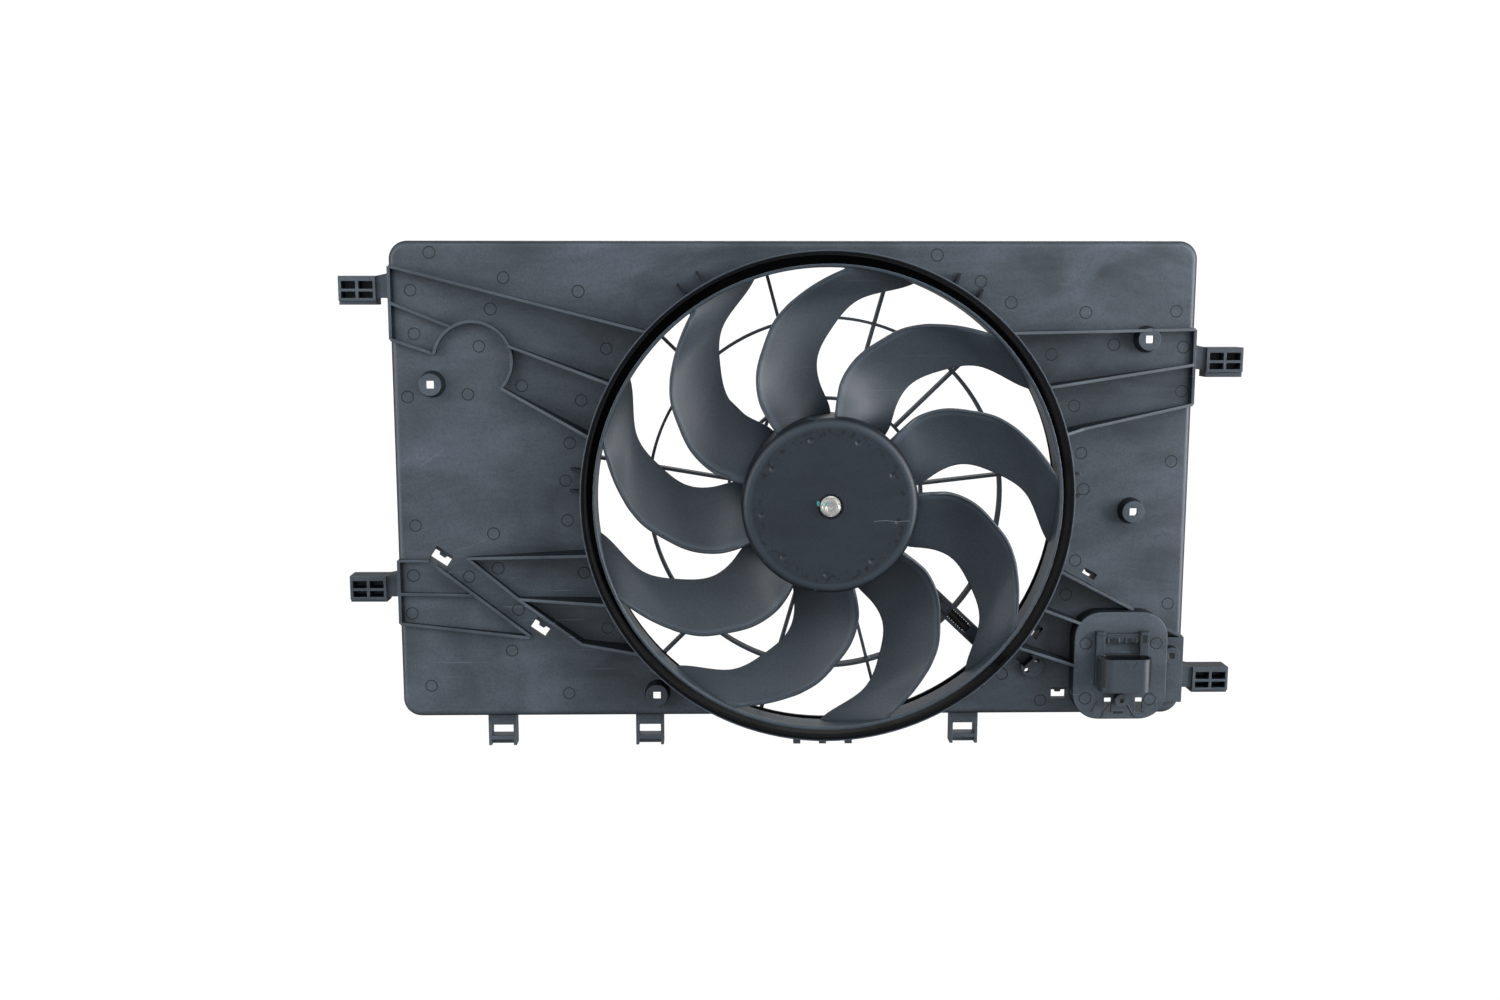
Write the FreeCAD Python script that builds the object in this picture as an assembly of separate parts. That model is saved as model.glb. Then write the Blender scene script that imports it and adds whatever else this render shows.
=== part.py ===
import FreeCAD, Part
import math
import os

V = FreeCAD.Vector

# Radiator fan shroud, in millimetres.
# The origin is on the fan axis, in the plane where the shroud meets the radiator.
# +Z is up, +Y points from the engine side into the radiator, +X is to the right
# for someone who stands on the engine side and looks at the fan.

# Tray: a shallow box, open towards the radiator
PANEL_WIDTH = 655.0
PANEL_HEIGHT = 394.5
FAN_FROM_LEFT = 353.5
FAN_FROM_BOTTOM = 187.0
TRAY_DEPTH = 28.0
WALL = 2.4
RIM_RADIUS = 5.5
CORNER_RADIUS = 15.0

# Fan ring: the collar round the fan opening
RING_INNER_RADIUS = 196.0
RING_HEIGHT = 33.0
RING_LIP_BEAD = 1.0
RING_LEDGE = 8.0
RING_TO_LIP_STEP = 4.0
PEG_SIZE = 6.0
PEG_LENGTH = 17.0
PEG_SPACING = 22.0

# Ribs on the engine side
RIB_THICKNESS = 2.4
RIB_LOW = 4.0
RIB_PIPE = 6.0
RIB_MID = 8.0
GUSSET_REACH = 13.0
GUSSET_HEIGHT = 24.0
GUSSET_ANGLES = [0.0, 4.9, 53.1, 59.3, 120.0, 125.0, 173.7, 178.6, 304.4, 309.3]

# Rib layout. Points are given as distances in from the two edges that meet at a corner
UPPER_LEFT_DROPS = [20.5, 49.5, 79.0]
UPPER_LEFT_RING_ANGLES = [136.9, 151.7, 165.1]
PIPE_CENTRE = (67.0, 96.0)
PIPE_ARC_RADIUS = 31.5
PIPE_ARC_SPAN = (-46.0, 170.0)
PIPE_RIB_ANGLES = [170.0, 122.0, 22.0, -44.5]
LOWER_LEFT_RISES = [134.0, 106.0, 81.0]
LOWER_LEFT_ENDS = [(26.5, 134.0), (61.0, 105.0), (109.0, 69.5)]
LOWER_LEFT_RING_ANGLES = [193.2, 205.8, 220.2]
LATCH_WALL = [(32.5, 129.5), (109.0, 70.0)]
FOLDED_WALL = [(58.5, 136.0), (100.0, 102.0), (152.5, 65.5)]
RIGHT_DROPS = [71.3, 100.0, 132.5]
RIGHT_BEND = (94.5, 150.5)
RIGHT_RING_ANGLES = [42.8, 27.3, 15.4]
PLATFORM_RING_ANGLES = [-17.1, -27.2, -38.1]
PLATFORM_RIB_ENDS = [(50.5, 0.0), (5.0, 10.0), (2.0, 46.0)]
PLATFORM_TIE = (8.0, 12.5)
PLATFORM_TIE_DROP = 24.5
STEP_PLATE_LOW = 11.0
STEP_PLATE_HIGH = 67.0

# Bosses with a squarish hole
BOSS_BASE_RADIUS = 11.5
BOSS_TOP_RADIUS = 9.0
BOSS_HEIGHT = 10.0
BOSS_HOLE = 6.2
SMALL_BOSS_SCALE = 0.78
BOSS_PLACES = [
    ("upper_left", (33.0, 115.0), 1.0),
    ("upper_right", (40.2, 79.0), 1.0),
    ("upper_right", (48.2, 220.3), 1.0),
    ("lower_left", (213.5, 20.5), 1.0),
    ("lower_right", (11.5, 52.5), SMALL_BOSS_SCALE),
]

# Latch sockets: place, width, height, tilt in degrees and depth of a short square sleeve.
# A place is given from a corner, or by its angle and its distance out from the ring
SLEEVE_WALL = 1.6
LATCH_SOCKETS = [
    ("lower_left", (35.8, 136.4), 16.0, 12.3, -34.0, 10.0),
    ("lower_left", (116.7, 76.5), 14.5, 12.5, -35.0, 10.0),
    ("ring", (-16.76, 32.51), 12.0, 5.4, -29.0, 17.0),
    ("ring", (-33.12, 14.62), 5.7, 11.6, -31.0, 17.0),
    ("lower_right", (103.0, 18.2), 13.1, 9.7, 0.0, 8.0),
]
TONGUE_SHARE = 0.32
TONGUE_SETBACK = 5.0
TONGUE_THICKNESS = 2.0

# Round nub with two small holes and a blind pocket next to it. Its centre is given
# by its angle and its distance out from the ring
NUB_CENTRE = (-39.53, 27.84)
NUB_RADIUS = 9.5
NUB_HOLE = 2.1
NUB_HOLE_OFFSET = 4.2
NUB_POCKET_WIDTH = 9.0
NUB_POCKET_LENGTH = 11.0
NUB_POCKET_OFFSET = 6.0
NUB_POCKET_DEPTH = 7.0

# Connector platform
PLATFORM_WIDTH = 78.0
PLATFORM_HEIGHT = 91.5
PLATFORM_FROM_RIGHT = 17.0
PLATFORM_RISE = 16.0
PLATFORM_CORNER = 22.0
SCREW_TUBE_RADIUS = 5.5
SCREW_TUBE_BORE = 2.0
SCREW_TUBE_HEIGHT = 8.0
SCREW_TUBE_RISE = 18.0
PLATFORM_SLOT_STARTS = [-12.5, 13.5]
PLATFORM_SLOT_WIDTH = 6.0
PLATFORM_SLOT_LOW = 6.0
PLATFORM_SLOT_HEIGHT = 12.5

# Side arms that slide into the radiator's end tanks
ARM_LENGTH = 30.0
ARM_HEIGHT = 20.0
ARM_DEPTH = 18.0
ARM_NECK = 10.5
ARM_RIB = 2.2
ARM_POCKET = 13.0
ARM_FRONT_SETBACK = 1.0
ARM_COLUMNS = 2
ARM_ROWS = [(0.0, 0.37), (0.37, 0.79)]
ARM_PLACES = [
    ("upper_left", 28.0, 3.2),
    ("lower_left", 120.5, 2.2),
    ("upper_right", 86.0, 4.2),
    ("lower_right", 39.8, 2.2),
]

# Hook clips on the lower edge
CLIP_WIDTH = 23.5
CLIP_DROP = 27.5
CLIP_WINDOW_WIDTH = 18.5
CLIP_WINDOW_HEIGHT = 10.0
CLIP_BAR = 8.0
CLIP_DEPTH = 13.0
CLIP_SETBACK = 8.0
CLIP_LIP = 3.0
CLIP_PLACES = [("lower_left", 81.6), ("lower_left", 206.4), ("lower_right", 181.4)]

# Stator: struts, guard ring and motor ring behind the fan
STRUT_THICKNESS = 2.4
STRUT_DEPTH = 11.0
STRUT_SETBACK = 5.0
STRUT_ANGLES = [6.5, 44.3, 74.3, 105.0, 135.8, 170.5, 225.0, 254.0, 284.5]
CHANNEL_ANGLE = 316.5
CHANNEL_WIDTH = 11.0
GUARD_RADIUS = 146.0
MOTOR_RING_RADIUS = 80.0

# Motor fixing: three ears with rubber bushes
EAR_PITCH_RADIUS = 71.0
EAR_ANGLES = [18.0, 138.0, 258.0]
EYE_RADIUS = 10.0
EYE_WEB_ANGLE = 13.0
BUSH_RADIUS = 7.2
SLEEVE_RADIUS = 4.6
BOLT_RADIUS = 3.0
BOLT_FLANGE_RADIUS = 7.4
BOLT_FLANGE_THICKNESS = 1.2
BOLT_ACROSS_FLATS = 10.5
BOLT_HEAD_HEIGHT = 5.0
EAR_THICKNESS = 3.0
BOLT_CLEARANCE = 0.15

# Motor
CAN_RADIUS = 56.0
CAN_LENGTH = 50.0
CAN_WALL = 2.0
CAN_EDGE_RADIUS = 5.0
CAN_FLANGE = 3.0
CAN_NOSE = 3.0
SHAFT_HOLE_GAP = 1.0
GLAND_LENGTH = 15.0
MAGNET_THICKNESS = 5.5
MAGNET_COUNT = 4
MAGNET_SPAN = 70.0
CORE_LENGTH = 22.0
CORE_SETBACK = 18.0
CORE_SLOTS = 12
CORE_AIR_GAP = 0.8
WINDING_HEIGHT = 6.0
COMMUTATOR_RADIUS = 13.0
COMMUTATOR_LENGTH = 9.0
SHAFT_RADIUS = 4.0
BEARING_RADIUS = 9.0
BEARING_LENGTH = 8.0
RUNNING_CLEARANCE = 0.05
BRUSH_WIDTH = 6.0
BRUSH_LENGTH = 14.0
BRUSH_ANGLES = [45.0, 135.0, 225.0, 315.0]
BRUSH_GAP = 0.3
GUIDE_WALL = 1.2
GUIDE_SETBACK = 3.0
SLOT_WIDTH = 8.0
SLOT_MOUTH = 2.4
SLOT_START = 0.62
SLOT_RIM = 3.0
SLIT_WIDTH = 0.6
CARD_THICKNESS = 2.0

# Fan: hub bowl, blades and outer band, one moulding that turns
HUB_RADIUS = 70.0
HUB_FACE_PROUD = 28.0
HUB_DEPTH = 54.0
HUB_EDGE_RADIUS = 7.0
HUB_WALL = 2.6
HUB_RIB_HEIGHT = 7.0
NUT_RECESS_RADIUS = 10.2
NUT_RECESS_DEPTH = 2.5
DIMPLE_CIRCLE_RADIUS = 54.5
DIMPLE_RADIUS = 2.6
DIMPLE_DEPTH = 0.8
DIMPLE_START = 27.0
HUB_WEB_START = 20.0
HUB_WEB_THICKNESS = 2.0
BLADE_COUNT = 9
BLADE_THICKNESS = 3.0
BLADE_CAMBER = 3.5
BLADE_OVERRUN = 0.06

# Blade stations, from hub to band: share of the span, angle of the front edge and of the
# rear edge in degrees, and how far the front and rear edges lie behind the band's front
BLADE_STATIONS = [
    (0.00, 166.9, 128.6, -11.0, 18.0),
    (0.12, 166.2, 131.3, -9.0, 18.0),
    (0.24, 164.6, 134.3, -3.5, 18.5),
    (0.40, 159.7, 133.9, -0.5, 20.0),
    (0.55, 153.0, 129.8, 1.0, 20.5),
    (0.70, 146.3, 125.2, 2.0, 20.0),
    (0.85, 136.3, 117.6, 2.0, 20.0),
    (1.00, 125.1, 107.0, 2.5, 20.5),
]

# One side of a blade section: share of the chord and share of the half thickness
SECTION_SIDE = [(0.0, 0.0), (0.01, 0.5), (0.04, 0.8), (0.2, 0.98), (0.5, 1.0), (0.8, 0.85),
                (0.96, 0.6), (0.99, 0.35), (1.0, 0.0)]

# Band round the blade tips, hub insert and shaft fixing
BAND_TIP_GAP = 7.4
BAND_LIP_FLARE = 1.0
BAND_THICKNESS = 1.6
BAND_LENGTH = 22.0
BAND_PROUD = 4.0
INSERT_RADIUS = 22.0
INSERT_THICKNESS = 4.0
NUT_ACROSS_FLATS = 13.0
NUT_HEIGHT = 6.0
NUT_CHAMFER = 3.2
SHAFT_PROUD = 3.5
WASHER_RADIUS = 8.0
WASHER_THICKNESS = 1.6

# Connector and wiring
SHELL_WIDTH = 43.5
SHELL_DEPTH = 21.0
SHELL_HEIGHT = 27.5
SHELL_WALL = 2.2
SHELL_STANDOFF = 3.0
SHELL_DROP = 35.0
SHELL_FLOOR = 5.2
POST_WIDTH = 7.0
POST_DROP = 16.0
LATCH_BAR_DROP = 18.0
LATCH_BAR_HEIGHT = 7.0
TERMINAL_OFFSET = 9.0
TERMINAL_WIDTH = 6.0
TERMINAL_THICKNESS = 1.2
TERMINAL_LENGTH = 14.0
CONDUIT_RADIUS = 3.0
CONDUIT_CLEARANCE = 0.1
CLIP_SETBACKS = [92.0, 58.0, 22.0]
CLIP_BLOCK_LENGTH = 14.0
CLIP_BLOCK_PROUD = 1.0
LEAD_TURN_PAST_RING = 9.0
LEAD_BACK_STEP = 15.0

# Places worked out from the driving sizes. BITE is how deep one shape is let into another
# that it is fused with, PAST is how far a cutting shape runs past the faces it cuts
LEFT = -FAN_FROM_LEFT
RIGHT = LEFT + PANEL_WIDTH
BOTTOM = -FAN_FROM_BOTTOM
TOP = BOTTOM + PANEL_HEIGHT
FACE = -TRAY_DEPTH
FLOOR = FACE + WALL
RING_OUTER_RADIUS = RING_INNER_RADIUS + WALL
LIP = FACE - RING_HEIGHT
RIB_HIGH = RING_HEIGHT - RING_TO_LIP_STEP
STRUT_FRONT = FACE + STRUT_SETBACK
STRUT_BACK = STRUT_FRONT + STRUT_DEPTH
CAN_BACK = STRUT_FRONT - EAR_THICKNESS
CAN_FRONT = CAN_BACK - CAN_LENGTH
HUB_FACE = LIP - HUB_FACE_PROUD
HUB_BACK = HUB_FACE + HUB_DEPTH
BAND_LIP_RADIUS = RING_INNER_RADIUS - BAND_TIP_GAP
BAND_OUTER_RADIUS = BAND_LIP_RADIUS - BAND_LIP_FLARE
BAND_INNER_RADIUS = BAND_OUTER_RADIUS - BAND_THICKNESS
BAND_FRONT = LIP - BAND_PROUD
BAND_BACK = BAND_FRONT + BAND_LENGTH
PLATFORM_RIGHT = RIGHT - PLATFORM_FROM_RIGHT
PLATFORM_LEFT = PLATFORM_RIGHT - PLATFORM_WIDTH
PLATFORM_TOP = BOTTOM + PLATFORM_HEIGHT
PLATFORM_FACE = FACE - PLATFORM_RISE
PLATFORM_X = (PLATFORM_LEFT + PLATFORM_RIGHT) / 2
SHELL_BACK = PLATFORM_FACE - SHELL_STANDOFF
SHELL_FRONT = SHELL_BACK - SHELL_DEPTH
SHELL_TOP = PLATFORM_TOP - SHELL_DROP
SHELL_BOTTOM = SHELL_TOP - SHELL_HEIGHT
LEAD_ENTRY_Z = SHELL_BOTTOM + SHELL_HEIGHT / 2
CORE_BACK = CAN_BACK - CORE_SETBACK
CORE_FRONT = CORE_BACK - CORE_LENGTH
MAGNET_INNER_RADIUS = CAN_RADIUS - CAN_WALL - MAGNET_THICKNESS
CORE_RADIUS = MAGNET_INNER_RADIUS - CORE_AIR_GAP
BITE = 1.0
PAST = 1.0
CARD_BACK = CAN_BACK - BITE
CARD_FRONT = CARD_BACK - CARD_THICKNESS
REAR_BEARING_FRONT = STRUT_FRONT - CAN_WALL - BITE
REAR_BEARING_BACK = REAR_BEARING_FRONT + BEARING_LENGTH
INSERT_FRONT = HUB_FACE + NUT_RECESS_DEPTH + HUB_WALL
NUT_BACK = HUB_FACE + NUT_RECESS_DEPTH - WASHER_THICKNESS
CORNERS = {
    "upper_left": (LEFT, 1, TOP, -1),
    "upper_right": (RIGHT, -1, TOP, -1),
    "lower_left": (LEFT, 1, BOTTOM, 1),
    "lower_right": (RIGHT, -1, BOTTOM, 1),
}


def box(x0, x1, y0, y1, z0, z1):
    return Part.makeBox(x1 - x0, y1 - y0, z1 - z0, V(x0, y0, z0))


def disc(radius, y0, y1, x=0.0, z=0.0):
    return Part.makeCylinder(radius, y1 - y0, V(x, y0, z), V(0, 1, 0))


def tube(outer, inner, y0, y1, x=0.0, z=0.0):
    return disc(outer, y0, y1, x, z).cut(disc(inner, y0 - PAST, y1 + PAST, x, z))


def cone(r0, r1, y0, y1, x=0.0, z=0.0):
    return Part.makeCone(r0, r1, y1 - y0, V(x, y0, z), V(0, 1, 0))


def polar(radius, angle):
    a = math.radians(angle)
    return radius * math.cos(a), radius * math.sin(a)


def from_corner(corner, across, along):
    """X and Z of a point given by its distances in from the two edges at a corner.

    A point given from the ring has its angle and its distance out from the ring instead.
    """
    if corner == "ring":
        return polar(RING_OUTER_RADIUS + along, across)
    x, x_way, z, z_way = CORNERS[corner]
    return x + x_way * across, z + z_way * along


def tilted_box(centre, width, height, tilt, y0, y1):
    block = box(-width / 2, width / 2, y0, y1, -height / 2, height / 2)
    block = turned(block, tilt)
    block.translate(V(centre[0], 0, centre[1]))
    return block


def prism(points, y0, y1):
    ring = [V(x, y0, z) for x, z in points]
    face = Part.Face(Part.makePolygon(ring + ring[:1]))
    return face.extrude(V(0, y1 - y0, 0))


def turned(shape, angle):
    """A copy turned anticlockwise about the fan axis, as seen from the engine side."""
    copy = shape.copy()
    copy.rotate(V(0, 0, 0), V(0, -1, 0), angle)
    return copy


def fused(shapes):
    whole = shapes[0]
    if len(shapes) > 1:
        whole = whole.fuse(shapes[1:])
    return whole.removeSplitter()


def rounded_plate(x0, x1, z0, z1, y0, y1, corner):
    plate = box(x0, x1, y0, y1, z0, z1)
    edges = [e for e in plate.Edges if e.BoundBox.YLength > 0.5 * (y1 - y0)]
    return plate.makeFillet(corner, edges)


def soften_front(shape, radius, y):
    """Rounds the whole edge loop of a plate that lies in the plane y."""
    edges = [e for e in shape.Edges if e.BoundBox.YMin > y - 0.01 and e.BoundBox.YMax < y + 0.01]
    return shape.makeFillet(radius, edges)


def rib(start, end, start_height, end_height):
    """An upright wall on the panel face whose top runs straight from one height to the other."""
    along = V(end[0] - start[0], 0, end[1] - start[1])
    side = V(along.z, 0, -along.x).normalize() * (RIB_THICKNESS / 2)
    corners = [
        V(start[0], FACE + RIM_RADIUS, start[1]),
        V(end[0], FACE + RIM_RADIUS, end[1]),
        V(end[0], FACE - end_height, end[1]),
        V(start[0], FACE - start_height, start[1]),
    ]
    corners = [c - side for c in corners]
    face = Part.Face(Part.makePolygon(corners + corners[:1]))
    return face.extrude(side * 2)


def rib_chain(points, heights):
    links = []
    for i in range(len(points) - 1):
        links.append(rib(points[i], points[i + 1], heights[i], heights[i + 1]))
    return links


def arc_rib(x, z, radius, start, end, height):
    """A curved wall on the panel face, from one angle to the other about x, z."""
    edges = []
    rims = []
    for r in (radius + RIB_THICKNESS / 2, radius - RIB_THICKNESS / 2):
        pts = [polar(r, a) for a in (start, (start + end) / 2, end)]
        pts = [V(x + px, FACE - height, z + pz) for px, pz in pts]
        edges.append(Part.Arc(*pts).toShape())
        rims.append(pts)
    edges.append(Part.makeLine(rims[0][0], rims[1][0]))
    edges.append(Part.makeLine(rims[0][2], rims[1][2]))
    face = Part.Face(Part.Wire(Part.__sortEdges__(edges)))
    return face.extrude(V(0, height + BITE, 0))


def on_ring(angle):
    return polar(RING_OUTER_RADIUS - WALL / 2, angle)


def upper_left_ribs():
    edge = RIB_THICKNESS / 2
    high, middle, low = [from_corner("upper_left", edge, drop) for drop in UPPER_LEFT_DROPS]
    px, pz = from_corner("upper_left", *PIPE_CENTRE)
    on_pipe = []
    for angle in PIPE_RIB_ANGLES:
        dx, dz = polar(PIPE_ARC_RADIUS, angle)
        on_pipe.append((px + dx, pz + dz))
    return [
        rib(high, low, RIB_LOW, RIB_LOW),
        rib(high, on_ring(UPPER_LEFT_RING_ANGLES[0]), RIB_LOW, RIB_HIGH),
        rib(middle, on_pipe[1], RIB_LOW, RIB_LOW),
        rib(low, on_pipe[0], RIB_LOW, RIB_LOW),
        rib(on_pipe[2], on_ring(UPPER_LEFT_RING_ANGLES[1]), RIB_MID, RIB_HIGH),
        rib(on_pipe[3], on_ring(UPPER_LEFT_RING_ANGLES[2]), RIB_MID, RIB_HIGH),
        arc_rib(px, pz, PIPE_ARC_RADIUS, PIPE_ARC_SPAN[0], PIPE_ARC_SPAN[1], RIB_PIPE),
    ]


def lower_left_ribs():
    edge = RIB_THICKNESS / 2
    starts = [from_corner("lower_left", edge, rise) for rise in LOWER_LEFT_RISES]
    ends = [from_corner("lower_left", *point) for point in LOWER_LEFT_ENDS]
    latch_wall = [from_corner("lower_left", *point) for point in LATCH_WALL]
    folded_wall = [from_corner("lower_left", *point) for point in FOLDED_WALL]
    ring = [on_ring(angle) for angle in LOWER_LEFT_RING_ANGLES]
    ribs = [
        rib(starts[0], starts[2], RIB_LOW, RIB_LOW),
        rib(starts[0], ends[0], RIB_LOW, RIB_LOW),
        rib(starts[1], ends[1], RIB_LOW, RIB_LOW),
        rib(starts[2], ends[2], RIB_LOW, RIB_MID),
        rib(latch_wall[0], latch_wall[1], RIB_PIPE, RIB_PIPE),
        rib(folded_wall[0], ring[0], RIB_PIPE, RIB_HIGH),
        rib(folded_wall[1], ring[1], RIB_MID, RIB_HIGH),
    ]
    return ribs + rib_chain(folded_wall + [ring[2]], [RIB_PIPE, RIB_MID, 2 * RIB_MID, RIB_HIGH])


def right_ribs():
    edge = RIB_THICKNESS / 2
    high, middle, low = [from_corner("upper_right", edge, drop) for drop in RIGHT_DROPS]
    ring = [on_ring(angle) for angle in RIGHT_RING_ANGLES]
    ribs = [
        rib(ring[0], high, RIB_HIGH, RIB_LOW),
        rib(high, low, RIB_LOW, RIB_LOW),
        rib(ring[1], middle, RIB_HIGH, RIB_LOW),
    ]
    heights = [RIB_MID, PLATFORM_RISE, PLATFORM_RISE]
    for angle, (across, down), height in zip(PLATFORM_RING_ANGLES, PLATFORM_RIB_ENDS, heights):
        ribs.append(rib(on_ring(angle), (PLATFORM_LEFT + across, PLATFORM_TOP - down), RIB_HIGH, height))
    tie = (PLATFORM_RIGHT - PLATFORM_TIE[0], PLATFORM_TOP - PLATFORM_TIE[1])
    ribs.append(rib(tie, (RIGHT - edge, PLATFORM_TOP - PLATFORM_TIE_DROP), RIB_MID, RIB_LOW))
    bend = from_corner("upper_right", *RIGHT_BEND)
    return ribs + rib_chain([ring[2], bend, low], [RIB_HIGH, 0.8 * RIB_HIGH, RIB_LOW])


def gusset(angle):
    """A small three-cornered fin that props the ring's outer wall."""
    inner = RING_OUTER_RADIUS - WALL / 2
    outer = RING_OUTER_RADIUS + GUSSET_REACH
    t = RIB_THICKNESS / 2
    corners = [V(inner, FLOOR + BITE, -t), V(outer, FLOOR + BITE, -t),
               V(outer, FACE, -t), V(inner, FACE - GUSSET_HEIGHT, -t)]
    face = Part.Face(Part.makePolygon(corners + corners[:1]))
    return turned(face.extrude(V(0, 0, 2 * t)), angle)


def boss_places():
    """Centre and size factor of each boss."""
    return [from_corner(corner, *point) + (k,) for corner, point, k in BOSS_PLACES]


def latch_sockets():
    """Solids and cuts of the square sockets through the panel, each with a tongue on top."""
    solids = []
    cuts = []
    for corner, point, width, height, tilt, depth in LATCH_SOCKETS:
        centre = from_corner(corner, *point)
        sleeve = tilted_box(centre, width + 2 * SLEEVE_WALL, height + 2 * SLEEVE_WALL, tilt,
                            FACE + BITE, FACE + depth)
        hole = tilted_box(centre, width, height, tilt, FACE - 2 * RIB_MID, FACE + depth + PAST)
        drop = TONGUE_SHARE * height
        tongue = box(-width / 2 - BITE, width / 2 + BITE, FACE + TONGUE_SETBACK,
                     FACE + TONGUE_SETBACK + TONGUE_THICKNESS, height / 2 - drop, height / 2 + BITE)
        hook = prism([(-width / 4, height / 2 - drop + BITE), (width / 4, height / 2 - drop + BITE),
                      (width / 6, height / 2 - 1.6 * drop), (-width / 6, height / 2 - 1.6 * drop)],
                     FACE + TONGUE_SETBACK, FACE + TONGUE_SETBACK + TONGUE_THICKNESS)
        latch = turned(fused([tongue, hook]), tilt)
        latch.translate(V(centre[0], 0, centre[1]))
        solids.append(sleeve.cut(hole))
        solids.append(latch)
        cuts.append(hole)
    return solids, cuts


def nub():
    """A round nub with two small holes, and the walls of a blind pocket next to it."""
    x, z = from_corner("ring", *NUB_CENTRE)
    middle = (x - NUB_POCKET_OFFSET, z + NUB_POCKET_OFFSET)
    solids = [
        disc(NUB_RADIUS, FACE - RIB_LOW, FLOOR, x, z),
        tilted_box(middle, NUB_POCKET_WIDTH + 2 * SLEEVE_WALL, NUB_POCKET_LENGTH + 2 * SLEEVE_WALL, -45.0,
                   FACE + BITE, FACE + NUB_POCKET_DEPTH),
    ]
    cuts = [tilted_box(middle, NUB_POCKET_WIDTH, NUB_POCKET_LENGTH, -45.0, FACE - RIB_MID,
                       FACE + NUB_POCKET_DEPTH - SLEEVE_WALL)]
    for shift in (-NUB_HOLE_OFFSET, NUB_HOLE_OFFSET):
        cuts.append(disc(NUB_HOLE, FACE - RIB_LOW - PAST, FACE + NUB_POCKET_DEPTH + PAST,
                         x + shift, z + shift))
    return solids, cuts


def shroud_panel():
    tray = soften_front(rounded_plate(LEFT, RIGHT, BOTTOM, TOP, FACE, 0, CORNER_RADIUS), RIM_RADIUS, FACE)
    solids = [tray, disc(RING_OUTER_RADIUS, FACE, 0)]
    platform = rounded_plate(PLATFORM_LEFT, PLATFORM_RIGHT, BOTTOM, PLATFORM_TOP,
                             PLATFORM_FACE, FLOOR, PLATFORM_CORNER)
    solids.append(soften_front(platform, WALL / 2, PLATFORM_FACE))
    solids += upper_left_ribs() + lower_left_ribs() + right_ribs()
    for angle in GUSSET_ANGLES:
        solids.append(gusset(angle))
    for x, z, k in boss_places():
        solids.append(cone(BOSS_TOP_RADIUS * k, BOSS_BASE_RADIUS * k, FACE - BOSS_HEIGHT, FLOOR, x, z))
    tube_z = BOTTOM + SCREW_TUBE_RISE
    solids.append(disc(SCREW_TUBE_RADIUS, PLATFORM_FACE - SCREW_TUBE_HEIGHT, FLOOR, PLATFORM_X, tube_z))
    solids.append(box(PLATFORM_RIGHT - PLATFORM_CORNER, RIGHT, FACE - RIB_LOW, FACE + RIM_RADIUS,
                      BOTTOM + STEP_PLATE_LOW, BOTTOM + STEP_PLATE_HIGH))
    for i in (-1, 0, 1):
        x = i * PEG_SPACING
        half = PEG_SIZE / 2
        solids.append(box(x - half, x + half, FACE / 2 - half, FACE / 2 + half,
                          -RING_OUTER_RADIUS - PEG_LENGTH, PEG_SIZE - RING_INNER_RADIUS))
    body = fused(solids)
    hollow = rounded_plate(LEFT + WALL, RIGHT - WALL, BOTTOM + WALL, TOP - WALL, FLOOR, PAST,
                           CORNER_RADIUS - WALL)
    hollow = soften_front(hollow, RIM_RADIUS - WALL, FLOOR)
    cuts = [hollow, disc(RING_INNER_RADIUS, FLOOR, PAST), disc(RING_OUTER_RADIUS, LIP - PAST, FLOOR)]
    cuts.append(rounded_plate(PLATFORM_LEFT + WALL, PLATFORM_RIGHT - WALL, BOTTOM + WALL, PLATFORM_TOP - WALL,
                              PLATFORM_FACE + WALL, 0, PLATFORM_CORNER - WALL))
    for x, z, k in boss_places():
        half = BOSS_HOLE * k / 2
        cuts.append(box(x - half, x + half, FACE - BOSS_HEIGHT - PAST, FLOOR, z - half, z + half))
        cuts.append(disc(BOSS_TOP_RADIUS * k - WALL, FACE - BOSS_HEIGHT + WALL, FLOOR + PAST, x, z))
    platform_back = PLATFORM_FACE + WALL + PAST
    cuts.append(disc(SCREW_TUBE_BORE, PLATFORM_FACE - SCREW_TUBE_HEIGHT - PAST, platform_back,
                     PLATFORM_X, tube_z))
    cuts.append(disc(CONDUIT_RADIUS + CONDUIT_CLEARANCE, PLATFORM_FACE - PAST, platform_back,
                     PLATFORM_X, LEAD_ENTRY_Z))
    for start in PLATFORM_SLOT_STARTS:
        x = PLATFORM_X + start
        z = BOTTOM + PLATFORM_SLOT_LOW
        cuts.append(box(x, x + PLATFORM_SLOT_WIDTH, PLATFORM_FACE - PAST, platform_back,
                        z, z + PLATFORM_SLOT_HEIGHT))
    body = body.cut(cuts)
    socket_solids, socket_cuts = latch_sockets()
    nub_solids, nub_cuts = nub()
    body = body.cut(socket_cuts)
    body = fused([body] + socket_solids + nub_solids)
    return body.cut(nub_cuts)


def fan_ring():
    wall = tube(RING_OUTER_RADIUS, RING_INNER_RADIUS, LIP, FLOOR)
    bead = tube(RING_OUTER_RADIUS + RING_LIP_BEAD, RING_INNER_RADIUS, LIP, LIP + WALL)
    ledge = tube(RING_OUTER_RADIUS - WALL / 2, RING_INNER_RADIUS - RING_LEDGE, FACE, FLOOR)
    return fused([wall, bead, ledge])


def ring_band(radius):
    """A thin ring of the stator, open where the lead's channel crosses it."""
    ring = tube(radius + STRUT_THICKNESS / 2, radius - STRUT_THICKNESS / 2, STRUT_FRONT, STRUT_BACK)
    half = (CHANNEL_WIDTH - STRUT_THICKNESS) / 2
    crossing = box(radius - CHANNEL_WIDTH, radius + CHANNEL_WIDTH,
                   STRUT_FRONT - PAST, STRUT_BACK + PAST, -half, half)
    return ring.cut(turned(crossing, CHANNEL_ANGLE))


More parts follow.
